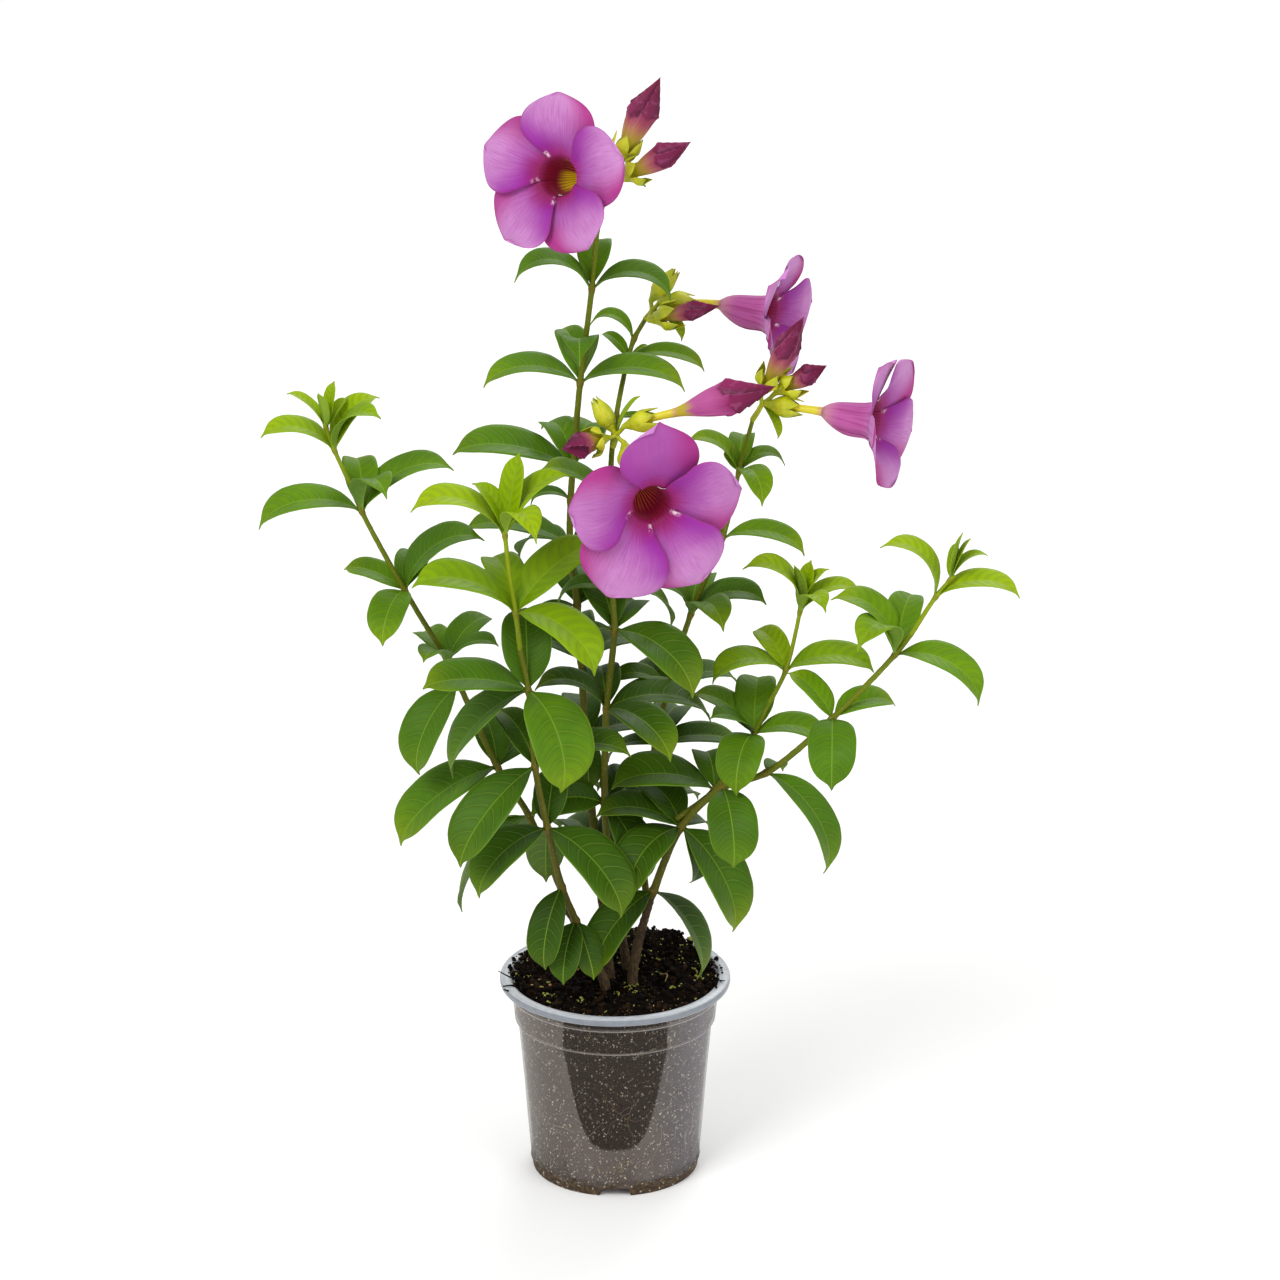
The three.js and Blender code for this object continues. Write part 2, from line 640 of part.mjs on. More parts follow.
// A furled bud: five folds that twist up to a point from shoulders past its middle.
function budBody(start, tip, radius) {
  const axis = tip.clone().sub(start);
  const frame = facing(start.toArray(), axis.toArray(), 0);
  const length = axis.length();
  const sides = 2 * LOBES;
  const points = [];
  BUD_STATIONS.forEach((s, i) => {
    for (let k = 0; k < sides; k += 1) {
      const angle = 2 * Math.PI * k / sides + BUD_TWIST * Math.max(0, s - BUD_SHOULDER);
      const fold = k % 2 === 0 ? BUD_RIDGE : -BUD_HOLLOW;
      const r = radius * BUD_WIDTHS[i] * (1 + fold * BUD_WIDTHS[i]);
      const corner = new THREE.Vector3(r * Math.cos(angle), r * Math.sin(angle), s * length);
      points.push(corner.applyMatrix4(frame));
    }
  });
  points.push(start.clone(), tip.clone());
  const faces = [];
  for (let i = 0; i + 1 < BUD_STATIONS.length; i += 1) {
    for (let k = 0; k < sides; k += 1) {
      const [a, b] = [i * sides + k, i * sides + (k + 1) % sides];
      faces.push([a, b, b + sides], [a, b + sides, a + sides]);
    }
  }
  const [root, point, last] = [points.length - 2, points.length - 1, (BUD_STATIONS.length - 1) * sides];
  for (let k = 0; k < sides; k += 1) {
    const next = (k + 1) % sides;
    faces.push([root, next, k], [point, last + k, last + next]);
  }
  return solidFromFaces(points, faces);
}

// A short straight stalk between two places.
function stalk(start, end) {
  const line = new THREE.LineCurve3(start, end);
  return taperedTube(line, [STALK_RADIUS, STALK_RADIUS], STEM_SIDES);
}

// A calyx: a stalk from the head's centre, a small cup and five pointed sepals that stand
// round the start of the flower. `spread` is how far they lean away from it.
function calyx(centre, base, axis, sepalLength, spread) {
  const frame = facing(base.toArray(), axis.toArray(), 0);
  const ring = (radius, height, offset) => [...Array(SEPALS).keys()].map((k) => {
    const angle = 2 * Math.PI * (k + offset) / SEPALS;
    const corner = new THREE.Vector3(radius * Math.cos(angle), radius * Math.sin(angle), height);
    return corner.applyMatrix4(frame);
  });
  const middle = SEPAL_RADIUS + spread;
  const edge = Math.hypot(middle, SEPAL_HALF_WIDTH);
  const turn = Math.atan2(SEPAL_HALF_WIDTH, middle) * SEPALS / (2 * Math.PI);
  const waist = 0.42 * sepalLength;
  const points = [
    ...ring(1.5, -CUP_DEPTH, 0.5),
    ...ring(3, -0.6, 0.5),
    ...ring(2.3, 0, 0.5),
    ...ring(edge, waist, -turn),
    ...ring(edge, waist, turn),
    ...ring(middle + 0.5, waist, 0),
    ...ring(middle - 0.5, waist, 0),
    ...ring(3.6 + 1.8 * spread, sepalLength, 0),
    new THREE.Vector3(0, 0, -CUP_DEPTH).applyMatrix4(frame),
    base.clone(),
  ];
  const faces = [];
  for (let k = 0; k < SEPALS; k += 1) {
    const before = (k + SEPALS - 1) % SEPALS;
    const [neckA, outA, inA] = [0, 1, 2].map((row) => row * SEPALS + before);
    const [neckB, outB, inB] = [0, 1, 2].map((row) => row * SEPALS + k);
    const [edgeA, edgeB, outer, inner, tip] = [3, 4, 5, 6, 7].map((row) => row * SEPALS + k);
    const [bottom, floor] = [8 * SEPALS, 8 * SEPALS + 1];
    faces.push([bottom, neckB, neckA], [neckA, neckB, outB], [neckA, outB, outA]);
    faces.push([outA, outB, outer], [outA, outer, edgeA], [outB, edgeB, outer]);
    faces.push([edgeA, outer, tip], [edgeB, tip, outer]);
    faces.push([inA, inner, inB], [inA, edgeA, inner], [inB, inner, edgeB]);
    faces.push([edgeA, tip, inner], [edgeB, inner, tip]);
    faces.push([outA, edgeA, inA], [edgeB, outB, inB], [floor, inA, inB]);
  }
  const neck = base.clone().addScaledVector(axis.clone().normalize(), 0.5 - CUP_DEPTH);
  return stalk(centre, neck).add(solidFromFaces(points, faces));
}

const pieces = new THREE.Group();

// Adds one named piece with its own material.
function addPiece(name, solid, finish) {
  const { vertProperties, triVerts } = solid.simplify(SMALLEST_DETAIL).getMesh();
  const geometry = new THREE.BufferGeometry();
  geometry.setAttribute('position', new THREE.BufferAttribute(new Float32Array(vertProperties), 3));
  geometry.setIndex(new THREE.BufferAttribute(new Uint32Array(triVerts), 1));
  geometry.computeVertexNormals();
  const mesh = new THREE.Mesh(geometry, new THREE.MeshStandardMaterial(FINISHES[finish]));
  mesh.name = name;
  pieces.add(mesh);
}

// The pot's shell, notched through its foot and drilled through its floor.
function pot() {
  const outside = [
    [FOOT_RADIUS, 0],
    [FOOT_RIDGE_RADIUS, FOOT_RIDGE_Z],
    [STEP_LOW_RADIUS, STEP_Z - 1],
    [STEP_TOP_RADIUS, STEP_Z],
    [COLLAR_RADIUS - 0.7, COLLAR_Z - 1],
    [COLLAR_RADIUS, COLLAR_Z],
    [COLLAR_RADIUS + 0.5, POT_HEIGHT - RIM_THICKNESS],
    [RIM_RADIUS, POT_HEIGHT - RIM_THICKNESS],
    [RIM_RADIUS, POT_HEIGHT - 1],
    [RIM_RADIUS - 1, POT_HEIGHT],
  ];
  const inside = [
    [innerRadius(POT_HEIGHT), POT_HEIGHT],
    [innerRadius(STEP_Z + 1), STEP_Z + 1],
    [innerRadius(STEP_Z - 1), STEP_Z - 1],
    [innerRadius(FLOOR_Z + POT_WALL), FLOOR_Z + POT_WALL],
    [0, FLOOR_Z + POT_WALL],
    [0, FLOOR_Z],
    [FOOT_RADIUS - FOOT_WALL, FLOOR_Z],
    [FOOT_RADIUS - FOOT_WALL, 0],
  ];
  let body = solidFromGeometry(turned([...outside, ...inside], POT_SIDES));
  for (let k = 0; k < FOOT_NOTCHES; k += 1) {
    const angle = -Math.PI / 2 + 2 * Math.PI * k / FOOT_NOTCHES;
    const cutter = new THREE.BoxGeometry(12, FOOT_NOTCH_WIDTH, 2 * FOOT_NOTCH_HEIGHT);
    cutter.translate(FOOT_RADIUS, 0, 0).rotateZ(angle);
    body = body.subtract(solidFromGeometry(cutter));
  }
  for (let k = 0; k < DRAIN_HOLES; k += 1) {
    const angle = Math.PI / 4 + 2 * Math.PI * k / DRAIN_HOLES;
    const drill = new THREE.CylinderGeometry(DRAIN_RADIUS, DRAIN_RADIUS, 8, 12).rotateX(Math.PI / 2);
    drill.translate(DRAIN_CIRCLE * Math.cos(angle), DRAIN_CIRCLE * Math.sin(angle), FLOOR_Z);
    body = body.subtract(solidFromGeometry(drill));
  }
  return body;
}

// The inside radius of the pot's wall at a height.
function innerRadius(height) {
  const low = THREE.MathUtils.mapLinear(height, 0, STEP_Z, FOOT_RIDGE_RADIUS - 0.5, STEP_LOW_RADIUS);
  const high = THREE.MathUtils.mapLinear(height, STEP_Z, POT_HEIGHT, STEP_TOP_RADIUS, COLLAR_RADIUS);
  return (height < STEP_Z ? low : high) - POT_WALL;
}

// How far the soil's top stands above its edge at a place.
function soilRise(x, y) {
  const middle = SOIL_MIDDLE_RISE * Math.max(0, 1 - Math.hypot(x, y - 12) / 60);
  const along = (x - SOIL_MOUND.x) / SOIL_MOUND.halfLength;
  const across = (y - SOIL_MOUND.y) / SOIL_MOUND.halfWidth;
  const mound = SOIL_MOUND.rise * Math.exp(-along * along - across * across);
  const clods = Math.sin(0.41 * x + 1.3) * Math.cos(0.37 * y) + 0.6 * Math.sin(0.9 * y + 0.7 * x);
  return middle + mound + 0.02 * y + 0.6 * SOIL_ROUGHNESS * clods;
}

// The soil, with lumps sunk in its top and a plain hole for each woody shoot.
function soil(shoots) {
  const gap = SEAT_GAP;
  const top = SOIL_EDGE_Z;
  const profile = [
    [0, FLOOR_Z + POT_WALL + gap],
    [innerRadius(FLOOR_Z + POT_WALL) - gap, FLOOR_Z + POT_WALL + gap],
    [innerRadius(STEP_Z - 1) - gap, STEP_Z - 1],
    [innerRadius(STEP_Z + 1) - gap, STEP_Z + 1.4],
    [innerRadius(top - 4) - gap, top - 4],
    [innerRadius(top - 4) - 1.5, top],
    ...[41, 28, 14, 0].map((radius) => [radius, top]),
  ];
  const geometry = turned(profile, SOIL_SIDES);
  const places = geometry.getAttribute('position');
  for (let i = 0; i < places.count; i += 1) {
    if (places.getZ(i) > top - 1) {
      places.setZ(i, top + soilRise(places.getX(i), places.getY(i)));
    }
  }
  const random = seeded(7);
  const parts = [solidFromGeometry(geometry)];
  for (let k = 0; k < SOIL_LUMPS; k += 1) {
    const angle = 2 * Math.PI * random();
    const distance = 12 + 34 * Math.sqrt(random());
    const [x, y] = [distance * Math.cos(angle), distance * Math.sin(angle)];
    const lump = new THREE.OctahedronGeometry(2.4 + 2.4 * random(), 0).scale(1, 1, 0.7);
    lump.rotateZ(6 * random()).translate(x, y, top + soilRise(x, y) + 0.4);
    parts.push(solidFromGeometry(lump));
  }
  return mainPiece(shoots.reduce((body, shoot) => body.subtract(shoot), fuse(parts)));
}

// A woody shoot and, with `grow`, the wider plug that its hole is cut with.
function woodyShoot(shoot, grow) {
  return fuse(shoot.branches.map(({ radii, route }) => (
    taperedTube(stemCurve(route), radii.map((radius) => radius + grow), WOOD_SIDES))));
}

addPiece('pot', pot(), 'pot');
addPiece('soil', soil(WOODY_SHOOTS.map((shoot) => woodyShoot(shoot, SEAT_GAP))), 'soil');

const ends = {};
for (const shoot of WOODY_SHOOTS) {
  addPiece(shoot.name, woodyShoot(shoot, 0), 'wood');
  shoot.branches.filter(({ to }) => to).forEach(({ to, route }) => {
    ends[to] = route[route.length - 1];
  });
}

// The place just past the end of a stem, on the way to where the next one goes.
function seatedStart(end, next) {
  const way = vec(next).sub(vec(end)).normalize();
  return vec(end).addScaledVector(way, SEAT_GAP).toArray();
}

for (const stem of LEAFY_STEMS) {
  const end = stem.from ? ends[`${stem.from} top`] : ends[stem.name];
  const [first, second] = stem.stops;
  const start = end ? seatedStart(end, first[0]) : first[0];
  const stops = end ? stem.stops : [second, ...stem.stops.slice(2)];
  addPiece(stem.name, leafyStem({ ...stem, stops }, start), stem.finish);
  ends[`${stem.name} top`] = stem.stops[stem.stops.length - 1][0];
}

for (const head of FLOWER_HEADS) {
  const centre = vec(head.centre);
  const foot = vec(head.foot ?? seatedStart(ends[`${head.from} top`], head.centre));
  const parts = [stalk(foot, centre)];
  head.flowers.forEach((flower) => {
    const face = vec(flower.face).normalize();
    const base = vec(flower.calyx);
    const back = vec(flower.mouth).addScaledVector(face, -FUNNEL_LENGTH - SEAT_GAP);
    const bend = back.clone().addScaledVector(face, -5);
    const axis = bend.clone().sub(base).normalize();
    const seat = base.clone().addScaledVector(axis, SEAT_GAP);
    const path = new THREE.QuadraticBezierCurve3(seat, bend, back);
    const frame = facing(flower.mouth, flower.face, flower.spin);
    addPiece(`flower_${head.name}_corolla`, corolla(frame, flower.radius, flower.cup ?? 1), 'petal');
    addPiece(`flower_${head.name}_tube`, taperedTube(path, TUBE_RADII, TUBE_SIDES), 'tube');
    parts.push(calyx(centre, base, axis, flower.sepal, OPEN_SPREAD));
  });
  head.buds.forEach((bud, k) => {
    const base = vec(bud.calyx);
    const tip = vec(bud.tip);
    const axis = tip.clone().sub(base).normalize();
    const seat = base.clone().addScaledVector(axis, SEAT_GAP);
    const start = seat.clone().addScaledVector(axis, bud.tube ?? 0);
    const name = `bud_${head.name}_${k + 1}`;
    addPiece(name, budBody(start, tip, bud.radius), 'bud');
    if (bud.tube) {
      const path = new THREE.LineCurve3(seat, start.clone().addScaledVector(axis, -SEAT_GAP));
      addPiece(`${name}_tube`, taperedTube(path, TUBE_RADII, TUBE_SIDES), 'tube');
    }
    parts.push(calyx(centre, base, axis, bud.sepal, bud.tube ? OPEN_SPREAD : BUD_SPREAD));
  });
  head.empties.forEach((empty) => {
    const base = vec(empty.calyx);
    parts.push(calyx(centre, base, vec(empty.tip).sub(base), EMPTY_SEPAL_LENGTH, EMPTY_SPREAD));
  });
  head.bracts.forEach(([right, back, up, arch]) => {
    parts.push(leafBlade(centre, new THREE.Vector3(right, back, up), arch, BRACT_WIDTH_RATIO));
  });
  addPiece(`calyces_${head.name}`, mainPiece(fuse(parts)), 'calyx');
}

// The origin goes to the middle of the underside of the whole plant.
const box = new THREE.Box3().setFromObject(pieces);
const middle = box.getCenter(new THREE.Vector3());
pieces.position.set(-middle.x, -middle.y, -box.min.z);

const plant = new THREE.Group();
plant.add(pieces);

export default plant;
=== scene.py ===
"""Potted allamanda: a purple trumpet vine in a clear nursery pot, dressed for rendering.

Layouts are in millimetres from the pot's axis on the surface that it stands on, +X to the
viewer's right and +Y away from the front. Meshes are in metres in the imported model's frame.
"""

import logging
import random
from collections.abc import Callable, Mapping, Sequence
from dataclasses import dataclass, field
from enum import Enum
from functools import cache, partialmethod
from itertools import pairwise
from math import acos, atan2, cos, exp, hypot, pi, radians, sin, sqrt, tau
from typing import Any

import bpy
from mathutils import Matrix, Vector, geometry, noise


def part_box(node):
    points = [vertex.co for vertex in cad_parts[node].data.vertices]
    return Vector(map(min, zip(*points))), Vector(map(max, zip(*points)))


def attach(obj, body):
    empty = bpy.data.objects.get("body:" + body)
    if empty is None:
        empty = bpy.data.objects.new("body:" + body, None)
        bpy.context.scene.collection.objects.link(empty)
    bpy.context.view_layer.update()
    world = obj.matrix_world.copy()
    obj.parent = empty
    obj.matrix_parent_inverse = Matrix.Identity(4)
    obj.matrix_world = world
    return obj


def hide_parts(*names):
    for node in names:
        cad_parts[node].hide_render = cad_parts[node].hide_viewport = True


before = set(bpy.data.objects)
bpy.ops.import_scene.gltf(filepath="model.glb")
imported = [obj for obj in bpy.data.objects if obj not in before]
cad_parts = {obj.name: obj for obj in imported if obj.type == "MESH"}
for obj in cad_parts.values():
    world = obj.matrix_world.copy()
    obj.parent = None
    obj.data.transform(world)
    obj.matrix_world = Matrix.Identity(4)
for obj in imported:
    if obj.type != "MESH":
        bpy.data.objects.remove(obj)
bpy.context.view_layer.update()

LOG = logging.getLogger("potted_allamanda")
MM = 0.001
BODY = "root"
UP = Vector((0.0, 0.0, 1.0))
POT_LOW, POT_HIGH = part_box("pot")
AXIS = Vector(((POT_LOW.x + POT_HIGH.x) / 2, (POT_LOW.y + POT_HIGH.y) / 2, 0.0))

Colour = tuple[float, float, float, float]
Stops = tuple[tuple[float, Colour], ...]
Pair = tuple[float, float]
Triple = tuple[float, float, float]
Reals = tuple[float, ...]
Sockets = dict[str, Any]
NONE: Triple = (0.0, 0.0, 0.0)


class Litter(Enum):
    """What a loose bit in the soil is made of, as a mark for its colour."""

    PEAT = 0.1
    BARK = 0.35
    STRAW = 0.6
    MOSS = 0.8
    PALE = 1.0


def tint(*shown: float) -> Colour:
    """A colour with linear channels and full alpha.

    Args:
        *shown: Red, green and blue from 0 to 255, as a display shows them.

    Returns:
        The colour.
    """
    parts = [value / 255 for value in shown]
    return (*(p / 12.92 if p <= 0.04045 else ((p + 0.055) / 1.055) ** 2.4 for p in parts), 1.0)


def lerp(low: float, high: float, share: float) -> float:
    """The value a share of the way from low to high."""
    return low + (high - low) * share


def spot(distance: float, angle: float) -> Pair:
    """The x and y at a distance and an angle from an axis."""
    return distance * cos(angle), distance * sin(angle)


def put(name: str, data: bpy.types.ID) -> bpy.types.Object:
    """Adds an object to the scene.

    Args:
        name: Its name.
        data: Its mesh, lamp or camera.

    Returns:
        The object.
    """
    made = bpy.data.objects.new(name, data)
    bpy.context.scene.collection.objects.link(made)
    return made


class Profile:
    """A smooth curve through (x, y) knots that never overshoots them."""

    def __init__(self, knots: Sequence[Pair]) -> None:
        """Works out the slope at each knot.

        Args:
            knots: The knots in rising order of x.
        """
        self.knots = knots
        steps = [(b[1] - a[1]) / (b[0] - a[0]) for a, b in pairwise(self.knots)]
        slopes = [steps[0]]
        for before, after in pairwise(steps):
            same_way = before * after > 0
            slopes.append(2 * before * after / (before + after) if same_way else 0.0)
        self.slopes = slopes + [steps[-1]]

    def __call__(self, x: float) -> float:
        """The curve's height, held level past its ends.

        Args:
            x: How far along it is asked for.

        Returns:
            The height.
        """
        knots = self.knots
        if x <= knots[0][0]:
            return knots[0][1]
        if x >= knots[-1][0]:
            return knots[-1][1]
        i = max(k for k in range(len(knots) - 1) if knots[k][0] <= x)
        (x0, y0), (x1, y1) = knots[i], knots[i + 1]
        wide = x1 - x0
        t = (x - x0) / wide
        rise = (2 * t ** 3 - 3 * t ** 2 + 1) * y0 + (3 * t ** 2 - 2 * t ** 3) * y1
        lean = (t ** 3 - 2 * t ** 2 + t) * self.slopes[i] + (t ** 3 - t ** 2) * self.slopes[i + 1]
        return rise + wide * lean


class Route:
    """A smooth line through places, sampled at even steps, with frames along it."""

    def __init__(self, places: Sequence[Sequence[float]], step: float) -> None:
        """Samples the line.

        Args:
            places: The places that it passes through.
            step: How far apart its samples are.
        """
        corners = [Vector(place) for place in places]
        before = corners[0] * 2 - corners[1]
        after = corners[-1] * 2 - corners[-2]
        padded = [before, *corners, after]
        self.points, self.stops = [], []
        for k in range(len(corners) - 1):
            four = padded[k:k + 4]
            count = max(2, round((four[2] - four[1]).length / step))
            self.stops.append(len(self.points))
            self.points += [self._between(four, i / count) for i in range(count)]
        self.stops.append(len(self.points))
        self.points.append(corners[-1].copy())
        self.lengths = [0.0]
        for a, b in pairwise(self.points):
            self.lengths.append(self.lengths[-1] + (b - a).length)

    @staticmethod
    def _between(four: Sequence[Vector], t: float) -> Vector:
        """A place between the middle two of four corners, by a centripetal spline.

        Args:
            four: The corners.
            t: How far it is from the second to the third.

        Returns:
            The place.
        """
        gaps = [max((b - a).length ** 0.5, 1e-3) for a, b in pairwise(four)]
        a, b, c, d = four
        start = (b - a) / gaps[0] - (c - a) / (gaps[0] + gaps[1]) + (c - b) / gaps[1]
        end = (c - b) / gaps[1] - (d - b) / (gaps[1] + gaps[2]) + (d - c) / gaps[2]
        start, end = start * gaps[1], end * gaps[1]
        square = (c - b) * 3 - start * 2 - end
        cube = (b - c) * 2 + start + end
        return b + start * t + square * t * t + cube * t ** 3

    def frames(self) -> list[tuple[Vector, Vector, Vector]]:
        """Three square directions at each sample, without twist.

        Returns:
            For each sample, the way of the line and two directions across it.
        """
        behind, ahead = [self.points[0], *self.points], [*self.points[1:], self.points[-1]]
        ways = [(b - a).normalized() for a, b in zip(behind, ahead)]
        first = ways[0].orthogonal().normalized()
        made = []
        for way in ways:
            first = (first - way * first.dot(way)).normalized()
            made.append((way, first, way.cross(first)))
        return made


@dataclass
class Shell:
    """A mesh in the making, in millimetres from the pot's axis.

    Its finish reads two triples at each vertex: the place on the surface and the marks.
    """

    points: list[Vector] = field(default_factory=list)
    faces: list[tuple[int, ...]] = field(default_factory=list)
    places: list[Triple] = field(default_factory=list)
    marks: list[Triple] = field(default_factory=list)

    def add(self, point: Vector, place: Triple = NONE, mark: Triple = NONE) -> int:
        """Adds a vertex.

        Args:
            point: Where it is.
            place: Its place on the surface.
            mark: Its marks.

        Returns:
            Its index.
        """
        self.points.append(point)
        self.places.append(place)
        self.marks.append(mark)
        return len(self.points) - 1

    def strip(self, rows: Sequence[Sequence[int]], closed: bool = True, flip: bool = False) -> None:
        """Joins rows of vertices with quads.

        Args:
            rows: The vertices of each row.
            closed: Whether each row is a ring.
            flip: Whether the faces look the other way.
        """
        for low, high in pairwise(rows):
            count = len(low)
            for k in range(count if closed else count - 1):
                n = (k + 1) % count
                quad = (low[k], low[n], high[n], high[k])
                self.faces.append(quad[::-1] if flip else quad)

    def cap(self, ring: Sequence[int], centre: int, flip: bool = False) -> None:
        """Closes a ring of vertices with a fan to one centre.

        Args:
            ring: The ring's vertices.
            centre: The vertex in its middle.
            flip: Whether the faces look the other way.
        """
        for a, b in zip(ring, [*ring[1:], ring[0]]):
            self.faces.append((b, a, centre) if flip else (a, b, centre))

    def tube(
        self, route: Route, radius: Callable[[float], float], sides: int,
        mark: Callable[[float], Triple], wobble: float = 0.0,
    ) -> None:
        """Adds a closed tube along a route.

        Args:
            route: The line that it follows.
            radius: Its radius at a share of its length.
            sides: How many sides it has.
            mark: The marks of its vertices at a share of its length.
            wobble: How rough its surface is, as a share of the radius.
        """
        rings = []
        frames = route.frames()
        for point, length, (_, first, second) in zip(route.points, route.lengths, frames):
            share = length / route.lengths[-1]
            ring = []
            for k in range(sides):
                angle = tau * k / sides
                out = first * cos(angle) + second * sin(angle)
                r = radius(share)
                if wobble:
                    r *= 1 + wobble * noise.noise((point + out * r) * 0.45)
                    r *= 1 + 0.5 * wobble * noise.noise((point + out * r) * 1.3)
                place = (length, k / sides, share)
                ring.append(self.add(point + out * r, place, mark(share)))
            rings.append(ring)
        self.strip(rings)
        for k, share, sign in ((0, 0.0, -1), (-1, 1.0, 1)):
            bulge = frames[k][0] * sign * radius(share) * 0.6
            centre = self.add(route.points[k] + bulge, (route.lengths[k], 0, share), mark(share))
            self.cap(rings[k], centre, flip=sign < 0)

    def leaf_of(self, rows: Sequence[Sequence[tuple[Vector, Vector, Pair, Triple]]]) -> None:
        """Adds a closed blade from a grid of places on its upper side.

        Args:
            rows: For each place, where its upper side is, the step to its underside, its
                place on the blade and its marks.
        """
        upper, under = [], []
        for row in rows:
            for grid, side in ((upper, 1.0), (under, 0.0)):
                grid.append([
                    self.add(point + step * (1 - side), (*place, side), mark)
                    for point, step, place, mark in row
                ])
        self.strip(upper, closed=False)
        self.strip(under, closed=False, flip=True)
        last = len(rows) - 1
        width = len(rows[0]) - 1
        rim = [(i, 0) for i in range(last)] + [(last, j) for j in range(width)]
        rim += [(last - i, width) for i in range(last)] + [(0, width - j) for j in range(width)]
        for (i, j), (m, n) in zip(rim, [*rim[1:], rim[0]]):
            self.faces.append((upper[i][j], upper[m][n], under[m][n], under[i][j]))

    def piece(
        self, name: str, finish: "Finish", slot: str, nodes: Sequence[str] = (), crease: float = 180,
    ) -> None:
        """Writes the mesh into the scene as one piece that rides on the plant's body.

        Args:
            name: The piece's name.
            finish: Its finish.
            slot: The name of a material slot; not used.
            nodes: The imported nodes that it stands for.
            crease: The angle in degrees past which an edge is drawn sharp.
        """
        mesh = bpy.data.meshes.new(name)
        mesh.from_pydata([point * MM + AXIS for point in self.points], [], self.faces)
        for label, values in (("place", self.places), ("mark", self.marks)):
            layer = mesh.attributes.new(label, "FLOAT_VECTOR", "POINT")
            layer.data.foreach_set("vector", [number for triple in values for number in triple])
        mesh.polygons.foreach_set("use_smooth", [True] * len(mesh.polygons))
        mesh.update()
        mesh.validate()
        if crease < 180:
            mesh.set_sharp_from_angle(angle=radians(crease))
        mesh.materials.append(finish.material())
        made = put(name, mesh)
        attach(made, BODY)
        if nodes:
            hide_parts(*nodes)
        LOG.info("%s: %d vertices, %d faces", name, len(mesh.vertices), len(mesh.polygons))


@dataclass(frozen=True)
class Signal:
    """A shader value that takes part in Python arithmetic."""

    paint: "Paint"
    socket: bpy.types.NodeSocket

    def _math(self, operation: str, *others: "Value", swap: bool = False) -> "Signal":
        """Adds a Math node on this value and others."""
        inputs = [*others, self] if swap else [self, *others]
        return self.paint.node("ShaderNodeMath", {"operation": operation}, inputs)

    # One Math node each. `most` is the larger of two values, `least` the smaller.
    __add__ = __radd__ = partialmethod(_math, "ADD")
    __sub__ = partialmethod(_math, "SUBTRACT")
    __rsub__ = partialmethod(_math, "SUBTRACT", swap=True)
    __mul__ = __rmul__ = partialmethod(_math, "MULTIPLY")
    __truediv__ = partialmethod(_math, "DIVIDE")
    __pow__ = partialmethod(_math, "POWER")
    __abs__ = partialmethod(_math, "ABSOLUTE")
    sine = partialmethod(_math, "SINE")
    fraction = partialmethod(_math, "FRACT")
    most = partialmethod(_math, "MAXIMUM")
    least = partialmethod(_math, "MINIMUM")

    def step(self, low: float, high: float) -> "Signal":
        """A smooth step from 0 at low to 1 at high."""
        settings = {"interpolation_type": "SMOOTHSTEP"}
        return self.paint.node("ShaderNodeMapRange", settings, [self, low, high, 0.0, 1.0])

    def fall(self, low: float, high: float) -> "Signal":
        """A smooth step from 1 at low to 0 at high."""
        return 1 - self.step(low, high)

    def split(self) -> tuple["Signal", "Signal", "Signal"]:
        """The three numbers of a vector."""
        made = self.paint.node("ShaderNodeSeparateXYZ", {}, [self]).socket.node
        return tuple(Signal(self.paint, socket) for socket in made.outputs[:3])


Value = Signal | float


